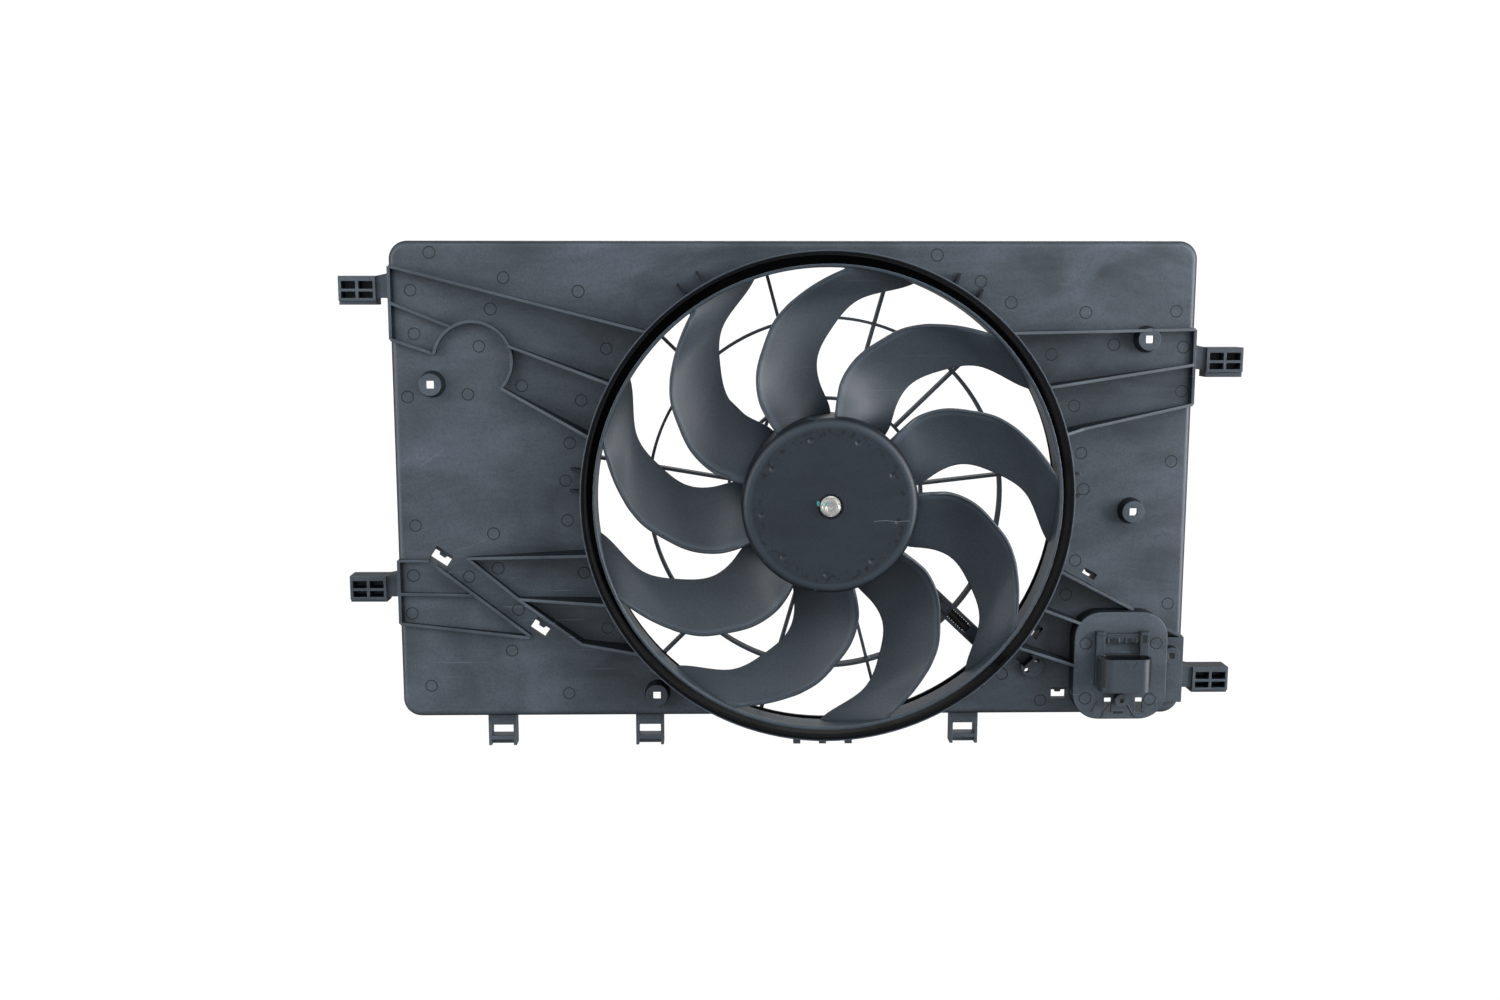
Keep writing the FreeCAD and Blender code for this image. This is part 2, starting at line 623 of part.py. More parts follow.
def stator_bar(start, end):
    """A straight bar of the stator between two points."""
    along = V(end[0] - start[0], 0, end[1] - start[1])
    side = V(along.z, 0, -along.x).normalize() * (STRUT_THICKNESS / 2)
    corners = [V(p[0], STRUT_FRONT, p[1]) + s for p, s in
               ((start, side), (end, side), (end, side * -1), (start, side * -1))]
    return Part.Face(Part.makePolygon(corners + corners[:1])).extrude(V(0, STRUT_DEPTH, 0))


def spoke(angle, offset):
    """A bar along a radius, with a foot at its outer end that reaches forward to the ring's ledge."""
    low = offset - STRUT_THICKNESS / 2
    high = offset + STRUT_THICKNESS / 2
    bar = box(MOTOR_RING_RADIUS, RING_INNER_RADIUS, STRUT_FRONT, STRUT_BACK, low, high)
    foot = box(RING_INNER_RADIUS - RING_LEDGE, RING_INNER_RADIUS, FLOOR, STRUT_FRONT, low, high)
    return turned(fused([bar, foot]), angle)


def stator_struts():
    """Single spokes, and a pair that forms the lead's channel, all kept clear of the two rings."""
    spokes = [spoke(angle, 0.0) for angle in STRUT_ANGLES]
    spokes += [spoke(CHANNEL_ANGLE, side * CHANNEL_WIDTH / 2) for side in (-1, 1)]
    rings = [ring_band(GUARD_RADIUS), ring_band(MOTOR_RING_RADIUS)]
    cut = [piece.cut(rings) for piece in spokes]
    return Part.makeCompound([solid for piece in cut for solid in piece.Solids])


def guard_ring():
    return ring_band(GUARD_RADIUS)


def motor_ring():
    """The inner ring, with three eyes that hold the motor's rubber bushes."""
    parts = [ring_band(MOTOR_RING_RADIUS)]
    bores = []
    for angle in EAR_ANGLES:
        x, z = polar(EAR_PITCH_RADIUS, angle)
        parts.append(disc(EYE_RADIUS, STRUT_FRONT, STRUT_BACK, x, z))
        bores.append(disc(BUSH_RADIUS, STRUT_FRONT - PAST, STRUT_BACK + PAST, x, z))
        for turn in (-EYE_WEB_ANGLE, EYE_WEB_ANGLE):
            parts.append(stator_bar((x, z), polar(MOTOR_RING_RADIUS, angle + turn)))
    return fused(parts).cut(bores)


def eye_set(maker):
    """One piece at each of the motor's three fixing points."""
    return Part.makeCompound([maker(*polar(EAR_PITCH_RADIUS, angle)) for angle in EAR_ANGLES])


def rubber_bushes():
    return eye_set(lambda x, z: tube(BUSH_RADIUS, SLEEVE_RADIUS, STRUT_FRONT, STRUT_BACK, x, z))


def bush_sleeves():
    bore = BOLT_RADIUS + BOLT_CLEARANCE
    return eye_set(lambda x, z: tube(SLEEVE_RADIUS, bore, STRUT_FRONT, STRUT_BACK, x, z))


def hexagon(across_flats, y0, y1, x=0.0, z=0.0):
    points = []
    for i in range(6):
        dx, dz = polar(across_flats / math.sqrt(3), 60 * i)
        points.append((x + dx, z + dz))
    return prism(points, y0, y1)


def motor_bolts():
    def bolt(x, z):
        shank = disc(BOLT_RADIUS, CAN_BACK - BOLT_HEAD_HEIGHT, STRUT_BACK, x, z)
        flange = disc(BOLT_FLANGE_RADIUS, STRUT_BACK, STRUT_BACK + BOLT_FLANGE_THICKNESS, x, z)
        head = hexagon(BOLT_ACROSS_FLATS, STRUT_BACK, STRUT_BACK + BOLT_HEAD_HEIGHT, x, z)
        return fused([shank, flange, head])
    return eye_set(bolt)


def motor_can():
    """A drawn steel can, closed at the front round its bearing, with three ears at its open end."""
    shell = disc(CAN_RADIUS, CAN_FRONT, CAN_BACK)
    shell = soften_front(shell, CAN_EDGE_RADIUS, CAN_FRONT)
    nose = disc(BEARING_RADIUS + CAN_WALL, CAN_FRONT - CAN_NOSE, CAN_FRONT + BEARING_LENGTH)
    ears = [disc(CAN_RADIUS + CAN_FLANGE, CAN_BACK, STRUT_FRONT)]
    half = EYE_RADIUS - BITE
    for angle in EAR_ANGLES:
        x, z = polar(EAR_PITCH_RADIUS, angle)
        ears.append(disc(half, CAN_BACK, STRUT_FRONT, x, z))
        ears.append(turned(box(CAN_RADIUS - 2 * CAN_WALL, EAR_PITCH_RADIUS, CAN_BACK, STRUT_FRONT,
                               -half, half), angle))
    hollow = disc(CAN_RADIUS - CAN_WALL, CAN_FRONT + CAN_WALL, STRUT_FRONT + PAST)
    hollow = soften_front(hollow, CAN_EDGE_RADIUS - CAN_WALL, CAN_FRONT + CAN_WALL)
    body = fused([shell] + ears).cut(hollow)
    body = fused([body, nose])
    cuts = [disc(BEARING_RADIUS, CAN_FRONT - BITE, CAN_FRONT + BEARING_LENGTH + PAST)]
    cuts.append(disc(SHAFT_RADIUS + SHAFT_HOLE_GAP, CAN_FRONT - CAN_NOSE - PAST, CAN_FRONT))
    for angle in EAR_ANGLES:
        x, z = polar(EAR_PITCH_RADIUS, angle)
        cuts.append(disc(BOLT_RADIUS + BOLT_CLEARANCE, CAN_BACK - PAST, STRUT_FRONT + PAST, x, z))
    return body.cut(cuts)


def motor_end_cap():
    """The rear cover: a plate inside the can's mouth with a cup for the rear bearing."""
    plate = disc(CAN_RADIUS - CAN_WALL, CAN_BACK, STRUT_FRONT)
    cup = disc(BEARING_RADIUS + CAN_WALL, CAN_BACK, REAR_BEARING_BACK + CAN_WALL)
    bore = disc(BEARING_RADIUS, CAN_BACK - PAST, REAR_BEARING_BACK)
    half = CHANNEL_WIDTH / 2
    end = CAN_RADIUS - CAN_WALL - BITE
    gland = box(end - GLAND_LENGTH, end, STRUT_FRONT - BITE, STRUT_BACK, -half, half)
    return fused([plate, cup, turned(gland, CHANNEL_ANGLE)]).cut(bore)


def bearing(y0):
    return tube(BEARING_RADIUS, SHAFT_RADIUS + RUNNING_CLEARANCE, y0, y0 + BEARING_LENGTH)


def sector(outer, inner, y0, y1, start, span):
    """A slice of a tube, between two angles."""
    edges = []
    rims = []
    for r in (outer, inner):
        pts = [polar(r, start + span * f) for f in (0.0, 0.5, 1.0)]
        pts = [V(px, y0, pz) for px, pz in pts]
        edges.append(Part.Arc(*pts).toShape())
        rims.append(pts)
    edges.append(Part.makeLine(rims[0][0], rims[1][0]))
    edges.append(Part.makeLine(rims[0][2], rims[1][2]))
    face = Part.Face(Part.Wire(Part.__sortEdges__(edges)))
    return face.extrude(V(0, y1 - y0, 0))


def motor_magnets():
    outer = CAN_RADIUS - CAN_WALL
    step = 360.0 / MAGNET_COUNT
    return Part.makeCompound([
        sector(outer, MAGNET_INNER_RADIUS, CORE_FRONT - CAN_WALL, CORE_BACK + CAN_WALL,
               i * step + (step - MAGNET_SPAN) / 2, MAGNET_SPAN)
        for i in range(MAGNET_COUNT)
    ])


def armature_core():
    """Stacked laminations with slots for the windings."""
    body = tube(CORE_RADIUS, SHAFT_RADIUS, CORE_FRONT, CORE_BACK)
    slots = []
    for i in range(CORE_SLOTS):
        slot = box(SLOT_START * CORE_RADIUS, CORE_RADIUS - SLOT_RIM, CORE_FRONT - PAST, CORE_BACK + PAST,
                   -SLOT_WIDTH / 2, SLOT_WIDTH / 2)
        mouth = box(CORE_RADIUS - SLOT_RIM - BITE, CORE_RADIUS + PAST, CORE_FRONT - PAST, CORE_BACK + PAST,
                    -SLOT_MOUTH / 2, SLOT_MOUTH / 2)
        slots += [turned(slot, i * 360.0 / CORE_SLOTS), turned(mouth, i * 360.0 / CORE_SLOTS)]
    return body.cut(slots)


def armature_windings():
    """The copper end turns in front of and behind the laminations."""
    ends = []
    for y0, y1 in ((CORE_FRONT - WINDING_HEIGHT, CORE_FRONT), (CORE_BACK, CORE_BACK + WINDING_HEIGHT)):
        ends.append(tube(CORE_RADIUS - SLOT_RIM, SLOT_START * CORE_RADIUS, y0, y1))
    return Part.makeCompound(ends)


def commutator():
    front = CARD_BACK - COMMUTATOR_LENGTH
    body = tube(COMMUTATOR_RADIUS, SHAFT_RADIUS, front, CARD_BACK)
    slits = []
    for i in range(CORE_SLOTS):
        slit = box(COMMUTATOR_RADIUS - BITE, COMMUTATOR_RADIUS + PAST, front - PAST, CARD_BACK + PAST,
                   -SLIT_WIDTH / 2, SLIT_WIDTH / 2)
        slits.append(turned(slit, i * 360.0 / CORE_SLOTS))
    return body.cut(slits)


def brush_card():
    plate = tube(CAN_RADIUS - CAN_WALL, COMMUTATOR_RADIUS + GUIDE_SETBACK - BITE, CARD_FRONT, CARD_BACK)
    boxes = []
    holes = []
    half = BRUSH_WIDTH / 2
    wide = half + GUIDE_WALL
    inner = COMMUTATOR_RADIUS + GUIDE_SETBACK
    outer = inner + BRUSH_LENGTH
    front = CARD_FRONT - BRUSH_WIDTH
    for angle in BRUSH_ANGLES:
        boxes.append(turned(box(inner, outer, front - GUIDE_WALL, CARD_FRONT, -wide, wide), angle))
        holes.append(turned(box(inner - PAST, outer + PAST, front, CARD_FRONT, -half, half), angle))
    return fused([plate] + boxes).cut(holes)


def motor_brushes():
    half = BRUSH_WIDTH / 2
    inner = COMMUTATOR_RADIUS + BRUSH_GAP
    brush = box(inner, inner + BRUSH_LENGTH, CARD_FRONT - BRUSH_WIDTH, CARD_FRONT, -half, half)
    return Part.makeCompound([turned(brush, angle) for angle in BRUSH_ANGLES])


def motor_shaft():
    return disc(SHAFT_RADIUS, HUB_FACE - SHAFT_PROUD, REAR_BEARING_BACK - BITE)


def fan_hub():
    """A bowl whose face looks at the engine, with ribs inside and a recess for the nut."""
    bowl = soften_front(disc(HUB_RADIUS, HUB_FACE, HUB_BACK), HUB_EDGE_RADIUS, HUB_FACE)
    floor = HUB_FACE + HUB_WALL
    hollow = disc(HUB_RADIUS - HUB_WALL, floor, HUB_BACK + PAST)
    hollow = soften_front(hollow, HUB_EDGE_RADIUS - HUB_WALL, floor)
    bowl = bowl.cut(hollow)
    extra = [disc(INSERT_RADIUS + HUB_WALL, floor - BITE, INSERT_FRONT + INSERT_THICKNESS)]
    half = HUB_WEB_THICKNESS / 2
    for i in range(BLADE_COUNT):
        web = box(INSERT_RADIUS + BITE, HUB_RADIUS - HUB_WALL + BITE, floor - BITE,
                  floor + HUB_RIB_HEIGHT, -half, half)
        extra.append(turned(web, HUB_WEB_START + i * 360.0 / BLADE_COUNT))
    bowl = fused([bowl] + extra)
    cuts = [disc(NUT_RECESS_RADIUS, HUB_FACE - PAST, HUB_FACE + NUT_RECESS_DEPTH),
            disc(SHAFT_RADIUS, HUB_FACE - PAST, HUB_BACK),
            disc(INSERT_RADIUS, INSERT_FRONT, INSERT_FRONT + INSERT_THICKNESS + PAST)]
    for i in range(BLADE_COUNT):
        x, z = polar(DIMPLE_CIRCLE_RADIUS, DIMPLE_START + i * 360.0 / BLADE_COUNT)
        cuts.append(cone(DIMPLE_RADIUS, 0.3 * DIMPLE_RADIUS, HUB_FACE, HUB_FACE + DIMPLE_DEPTH, x, z))
    return bowl.cut(cuts)


def blade_section(radius, front_angle, rear_angle, front_y, rear_y):
    """One closed, gently curved section in the plane square to the radius."""
    middle = (front_angle + rear_angle) / 2
    spread = (front_angle - rear_angle) / 2
    reach, half = polar(radius, spread)
    chord = math.hypot(2 * half, rear_y - front_y)
    run, rise = 2 * half / chord, (rear_y - front_y) / chord
    turn = math.radians(middle)

    def point(share, side):
        across = 4 * BLADE_CAMBER * share * (1 - share) + side * BLADE_THICKNESS / 2
        s = half - share * chord * run + across * rise
        y = front_y + share * chord * rise + across * run
        x = reach * math.cos(turn) - s * math.sin(turn)
        z = reach * math.sin(turn) + s * math.cos(turn)
        return V(x, y, z)

    back = [point(share, side) for share, side in SECTION_SIDE]
    front = [point(share, -side) for share, side in reversed(SECTION_SIDE)]
    edges = []
    for points in (back, front):
        curve = Part.BSplineCurve()
        curve.interpolate(Points=points, Parameters=[i / (len(points) - 1) for i in range(len(points))])
        edges.append(curve.toShape())
    return Part.Wire(edges)


def one_blade():
    """A cubic surface through the stations, since a higher degree swings out between them."""
    cubic = 3
    span = BAND_INNER_RADIUS - HUB_RADIUS
    first, last = BLADE_STATIONS[0], BLADE_STATIONS[-1]
    stations = [(-BLADE_OVERRUN,) + first[1:]] + BLADE_STATIONS[1:-1] + [(1 + BLADE_OVERRUN,) + last[1:]]
    wires = []
    for share, front, rear, front_y, rear_y in stations:
        wires.append(blade_section(HUB_RADIUS + share * span, front, rear,
                                   BAND_FRONT + front_y, BAND_FRONT + rear_y))
    blade = Part.makeLoft(wires, True, False, False, cubic)
    return blade.common(tube(BAND_INNER_RADIUS, HUB_RADIUS, HUB_FACE, 0))


def fan_blades():
    blade = one_blade()
    return Part.makeCompound([turned(blade, i * 360.0 / BLADE_COUNT).Solids[0] for i in range(BLADE_COUNT)])


def fan_band():
    """The band joins the blade tips and flares out at its front edge."""
    profile = [
        V(BAND_INNER_RADIUS, BAND_BACK, 0),
        V(BAND_INNER_RADIUS, BAND_FRONT + BAND_LIP_FLARE, 0),
        V(BAND_INNER_RADIUS + BAND_LIP_FLARE, BAND_FRONT, 0),
        V(BAND_LIP_RADIUS, BAND_FRONT, 0),
        V(BAND_LIP_RADIUS, BAND_FRONT + BAND_THICKNESS, 0),
        V(BAND_OUTER_RADIUS, BAND_FRONT + BAND_THICKNESS + BAND_LIP_FLARE, 0),
        V(BAND_OUTER_RADIUS, BAND_BACK, 0),
    ]
    face = Part.Face(Part.makePolygon(profile + profile[:1]))
    return face.revolve(V(0, 0, 0), V(0, 1, 0), 360)


def hub_insert():
    """The metal boss that carries the hub on the shaft."""
    return tube(INSERT_RADIUS, SHAFT_RADIUS, INSERT_FRONT, INSERT_FRONT + INSERT_THICKNESS)


def shaft_washer():
    return tube(WASHER_RADIUS, SHAFT_RADIUS, NUT_BACK, NUT_BACK + WASHER_THICKNESS)


def shaft_nut():
    front = NUT_BACK - NUT_HEIGHT
    small = NUT_ACROSS_FLATS / 2
    large = small + NUT_CHAMFER
    nut = hexagon(NUT_ACROSS_FLATS, front, NUT_BACK)
    crown = fused([cone(small, large, front, front + NUT_CHAMFER),
                   disc(large, front + NUT_CHAMFER, NUT_BACK)])
    return nut.common(crown).cut(disc(SHAFT_RADIUS, front - PAST, NUT_BACK + PAST))


def stadium(width, depth, z0, z1, x, y):
    """A flat-sided oval block that stands upright."""
    plate = Part.makeBox(width, depth, z1 - z0, V(x - width / 2, y - depth / 2, z0))
    edges = [e for e in plate.Edges if e.BoundBox.ZLength > 0.5 * (z1 - z0)]
    return plate.makeFillet(0.48 * depth, edges)


def connector_shell():
    """A socket that opens upwards, with a back plate that clips onto the platform."""
    y = (SHELL_FRONT + SHELL_BACK) / 2
    shell = stadium(SHELL_WIDTH, SHELL_DEPTH, SHELL_BOTTOM, SHELL_TOP, PLATFORM_X, y)
    hollow = stadium(SHELL_WIDTH - 2 * SHELL_WALL, SHELL_DEPTH - 2 * SHELL_WALL,
                     SHELL_BOTTOM + SHELL_FLOOR, SHELL_TOP + PAST, PLATFORM_X, y)
    left = PLATFORM_X - SHELL_WIDTH / 2
    right = PLATFORM_X + SHELL_WIDTH / 2
    posts = []
    for x in (left, right - POST_WIDTH):
        posts.append(box(x, x + POST_WIDTH, SHELL_BACK - SHELL_WALL, PLATFORM_FACE,
                         SHELL_BOTTOM, PLATFORM_TOP - POST_DROP))
    bar_top = PLATFORM_TOP - LATCH_BAR_DROP
    bar = box(left, right, SHELL_BACK, PLATFORM_FACE, bar_top - LATCH_BAR_HEIGHT, bar_top)
    back = box(left + POST_WIDTH, right - POST_WIDTH, SHELL_BACK - SHELL_WALL, PLATFORM_FACE,
               SHELL_BOTTOM, SHELL_TOP)
    return fused([shell.cut(hollow), bar] + posts + [back.cut(hollow)])


def connector_terminals():
    y = (SHELL_FRONT + SHELL_BACK) / 2
    base = SHELL_BOTTOM + SHELL_FLOOR
    wide = TERMINAL_WIDTH / 2
    thin = TERMINAL_THICKNESS / 2
    blades = []
    for x in (PLATFORM_X - TERMINAL_OFFSET, PLATFORM_X + TERMINAL_OFFSET):
        blades.append(box(x - wide, x + wide, y - thin, y + thin, base, base + TERMINAL_LENGTH))
    return Part.makeCompound(blades)


def side_arm(corner, along, foot_depth):
    """A ribbed tongue on the tray's side wall, placed from one of the tray's corners."""
    root, top = from_corner(corner, 0.0, along)
    side = -CORNERS[corner][1]
    front = FACE + ARM_FRONT_SETBACK
    back = front + ARM_DEPTH
    low = top - ARM_HEIGHT
    far = ARM_NECK + ARM_LENGTH

    def slab(a, b, y0, y1, z0, z1):
        xs = sorted((root + side * a, root + side * b))
        return box(xs[0], xs[1], y0, y1, z0, z1)

    neck_end = root + side * ARM_NECK
    neck = prism([(root, top + ARM_RIB), (neck_end, top), (neck_end, low + ARM_RIB), (root, low + ARM_RIB)],
                 front + ARM_RIB, back)
    solids = [slab(ARM_NECK, far, front, back, low, top), neck,
              slab(ARM_NECK, far, front + ARM_RIB, back, low - foot_depth, low)]
    pockets = []
    width = (ARM_LENGTH - (ARM_COLUMNS + PAST) * ARM_RIB) / ARM_COLUMNS
    for i in range(ARM_COLUMNS):
        start = ARM_NECK + ARM_RIB + i * (width + ARM_RIB)
        for lower, upper in ARM_ROWS:
            pockets.append(slab(start, start + width, front - PAST, front + ARM_POCKET,
                                low + ARM_RIB + lower * ARM_HEIGHT, low + upper * ARM_HEIGHT))
    return fused(solids).cut(pockets)


def side_arms():
    return Part.makeCompound([side_arm(*place) for place in ARM_PLACES])


def hook_clip(corner, along):
    """A moulded loop that hangs from the lower edge and takes the radiator's tab."""
    x, _ = from_corner(corner, along, 0.0)
    y0 = FACE + CLIP_SETBACK
    y1 = y0 + CLIP_DEPTH
    low = BOTTOM - CLIP_DROP
    half = CLIP_WINDOW_WIDTH / 2
    loop = box(x - CLIP_WIDTH / 2, x + CLIP_WIDTH / 2, y0, y1, low, BOTTOM)
    window = box(x - half, x + half, y0 - PAST, y1 + PAST,
                 low + CLIP_BAR, low + CLIP_BAR + CLIP_WINDOW_HEIGHT)
    relief = box(x - half, x + half, y0 - PAST, y0 + CLIP_DEPTH / 2,
                 low - PAST, low + CLIP_BAR - CLIP_LIP)
    return loop.cut([window, relief])


def hook_clips():
    return Part.makeCompound([hook_clip(*place) for place in CLIP_PLACES])


def conduit_route():
    """The lead runs along the strut channel, behind the panel and up to the connector's back."""
    y = STRUT_FRONT + 0.5 * STRUT_DEPTH
    points = []
    for radius in (CAN_RADIUS - CAN_WALL - BITE, RING_INNER_RADIUS + LEAD_TURN_PAST_RING):
        x, z = polar(radius, CHANNEL_ANGLE)
        points.append(V(x, y, z))
    z = LEAD_ENTRY_Z
    points.append(V(PLATFORM_LEFT - 6 * CONDUIT_RADIUS, y + CONDUIT_RADIUS, z + CONDUIT_RADIUS))
    points.append(V(PLATFORM_X - 2 * LEAD_BACK_STEP, y + 0.7 * LEAD_BACK_STEP, z))
    points.append(V(PLATFORM_X - 0.6 * LEAD_BACK_STEP, y + CONDUIT_RADIUS, z))
    points.append(V(PLATFORM_X, PLATFORM_FACE + LEAD_BACK_STEP, z))
    points.append(V(PLATFORM_X, PLATFORM_FACE, z))
    return points


def swept_lead(points, radius):
    """A round lead along straight runs joined by tangent arcs."""
    edges = []
    radii = []
    start = points[0]
    for i in range(1, len(points) - 1):
        before = points[i - 1] - points[i]
        after = points[i + 1] - points[i]
        turn = math.pi - before.getAngle(after)
        reach = 0.45 * min(before.Length, after.Length)
        a = points[i] + V(before).normalize() * reach
        b = points[i] + V(after).normalize() * reach
        bend = reach / math.tan(turn / 2)
        radii.append(bend)
        middle = V(before).normalize() + V(after).normalize()
        middle.normalize()
        mid = points[i] + middle * (bend / math.cos(turn / 2) - bend)
        edges.append(Part.makeLine(start, a))
        edges.append(Part.Arc(a, mid, b).toShape())
        start = b
    edges.append(Part.makeLine(start, points[-1]))
    path = Part.Wire(edges)
    heading = (points[1] - points[0]).normalize()
    ring = Part.Wire(Part.makeCircle(radius, points[0], heading))
    lead = path.makePipeShell([ring], True, False, 2)
    print("lead: length %.1f, volume / section x length %.4f" % (
        path.Length, lead.Volume / (math.pi * radius ** 2 * path.Length)))
    print("bend radii:", ", ".join("%.0f" % r for r in radii))
    return lead


def wire_conduit():
    return swept_lead(conduit_route(), CONDUIT_RADIUS)


def conduit_clips():
    """Straps across the strut channel that hold the lead down."""
    y = STRUT_FRONT + 0.5 * STRUT_DEPTH
    clips = []
    half = (CHANNEL_WIDTH - STRUT_THICKNESS) / 2
    for setback in CLIP_SETBACKS:
        radius = RING_INNER_RADIUS - setback
        reach = CLIP_BLOCK_LENGTH / 2
        block = box(radius - reach, radius + reach, STRUT_FRONT - CLIP_BLOCK_PROUD,
                    STRUT_BACK + CLIP_BLOCK_PROUD, -half, half)
        bore = Part.makeCylinder(CONDUIT_RADIUS + CONDUIT_CLEARANCE, 2 * CLIP_BLOCK_LENGTH,
                                 V(radius - CLIP_BLOCK_LENGTH, y, 0), V(1, 0, 0))
        clips.append(turned(block.cut(bore), CHANNEL_ANGLE))
    return Part.makeCompound(clips)


NODES = {
    "shroud_panel": shroud_panel,
    "fan_ring": fan_ring,
    "stator_struts": stator_struts,
    "guard_ring": guard_ring,
    "motor_ring": motor_ring,
    "side_arms": side_arms,
    "hook_clips": hook_clips,
    "rubber_bushes": rubber_bushes,
    "bush_sleeves": bush_sleeves,
    "motor_bolts": motor_bolts,
    "motor_can": motor_can,
    "motor_end_cap": motor_end_cap,
    "motor_magnets": motor_magnets,
    "brush_card": brush_card,
    "motor_brushes": motor_brushes,
    "front_bearing": lambda: bearing(CAN_FRONT - BITE),
    "rear_bearing": lambda: bearing(REAR_BEARING_FRONT),
    "connector_shell": connector_shell,
    "connector_terminals": connector_terminals,
    "wire_conduit": wire_conduit,
    "conduit_clips": conduit_clips,
    "fan_hub": fan_hub,
    "fan_blades": fan_blades,
    "fan_band": fan_band,
    "hub_insert": hub_insert,
    "shaft_washer": shaft_washer,
    "shaft_nut": shaft_nut,
    "motor_shaft": motor_shaft,
    "armature_core": armature_core,
    "armature_windings": armature_windings,
    "commutator": commutator,
}

os.makedirs("parts", exist_ok=True)
for name, maker in NODES.items():
    shape = maker()
    shape.exportStep("parts/%s.step" % name)
    print("%-20s solids %2d  volume %10.0f  valid %s" % (
        name, len(shape.Solids), shape.Volume, shape.isValid()))
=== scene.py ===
import math
import random
import bmesh
import bpy
from mathutils import Matrix, Vector


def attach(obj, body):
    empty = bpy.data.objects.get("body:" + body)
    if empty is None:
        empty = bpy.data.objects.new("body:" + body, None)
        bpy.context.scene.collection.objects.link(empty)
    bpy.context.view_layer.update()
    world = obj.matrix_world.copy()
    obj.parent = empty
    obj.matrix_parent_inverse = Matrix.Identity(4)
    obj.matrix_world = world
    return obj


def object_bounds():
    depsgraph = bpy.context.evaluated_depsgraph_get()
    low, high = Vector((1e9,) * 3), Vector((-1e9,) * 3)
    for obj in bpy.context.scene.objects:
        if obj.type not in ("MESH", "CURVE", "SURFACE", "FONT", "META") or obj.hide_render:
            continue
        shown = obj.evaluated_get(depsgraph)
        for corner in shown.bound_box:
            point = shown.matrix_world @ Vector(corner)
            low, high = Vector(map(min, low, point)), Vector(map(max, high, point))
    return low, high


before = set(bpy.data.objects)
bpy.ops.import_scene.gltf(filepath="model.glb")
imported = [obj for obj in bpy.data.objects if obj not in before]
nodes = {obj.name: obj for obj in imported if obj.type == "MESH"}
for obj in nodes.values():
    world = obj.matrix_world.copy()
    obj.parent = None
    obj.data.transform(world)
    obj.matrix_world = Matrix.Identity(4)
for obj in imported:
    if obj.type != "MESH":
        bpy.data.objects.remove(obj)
CAD_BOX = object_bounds()
rng = random.Random(7)

# Sizes of the object are in millimetres; MM turns them into the scene's metres.
# Camera, lights and backdrop are in metres.
MM = 0.001

# Depths of the faces that carry small pieces, as in the CAD model; -Y looks to the engine side
FACE = -28.0
PLATFORM_FACE = -44.0
BAR_FACE = -47.0
POST_FACE = -49.2
CUP_FACE = -68.0
STRAP_FACE = -24.0
WASHER_FACE = -88.1
HUB_FACE = -89.0
SHAFT_FACE = -92.5
NUT_FACE = -94.1
SINK = 0.05  # how far a small piece reaches into the face that it lies on

# Fan. EDGE is the blades' front edge from hub to band: share of the span, angle in degrees and
# depth behind the band's front
HUB_RADIUS = 70.0
BAND_INNER_RADIUS = 186.0
BAND_FRONT = -65.0
BLADES = 9
EDGE = [(0.0, 166.9, -11.0), (0.12, 166.2, -9.0), (0.24, 164.6, -3.5), (0.40, 159.7, -0.5),
        (0.55, 153.0, 1.0), (0.70, 146.3, 2.0), (0.85, 136.3, 2.0), (1.0, 125.1, 2.5)]


# Camera, at the photograph's place
CAMERA_PLACE = (-0.0825, -1.2123, 0.1681)
CAMERA_TILT = 81.76
CAMERA_PAN = -0.98
cam = bpy.data.objects.new("camera", bpy.data.cameras.new("camera"))
bpy.context.scene.collection.objects.link(cam)
cam.data.lens = 34.8
cam.data.sensor_width = 36.0
cam.location = CAMERA_PLACE
cam.rotation_euler = (math.radians(CAMERA_TILT), 0.0, math.radians(CAMERA_PAN))
bpy.context.scene.camera = cam
bpy.context.scene.view_settings.view_transform = "Standard"


# Materials
# Painted highlight behind a blade's front edge: where its bright strip starts, is full, starts to fade and
# ends
BLADE_HIGHLIGHT = (1.2, 2.8, 4.0, 7.2)
# Shares of a plastic's colour that are left where little light gets in
SHADE = 0.06
CUP_SHADE = 0.08


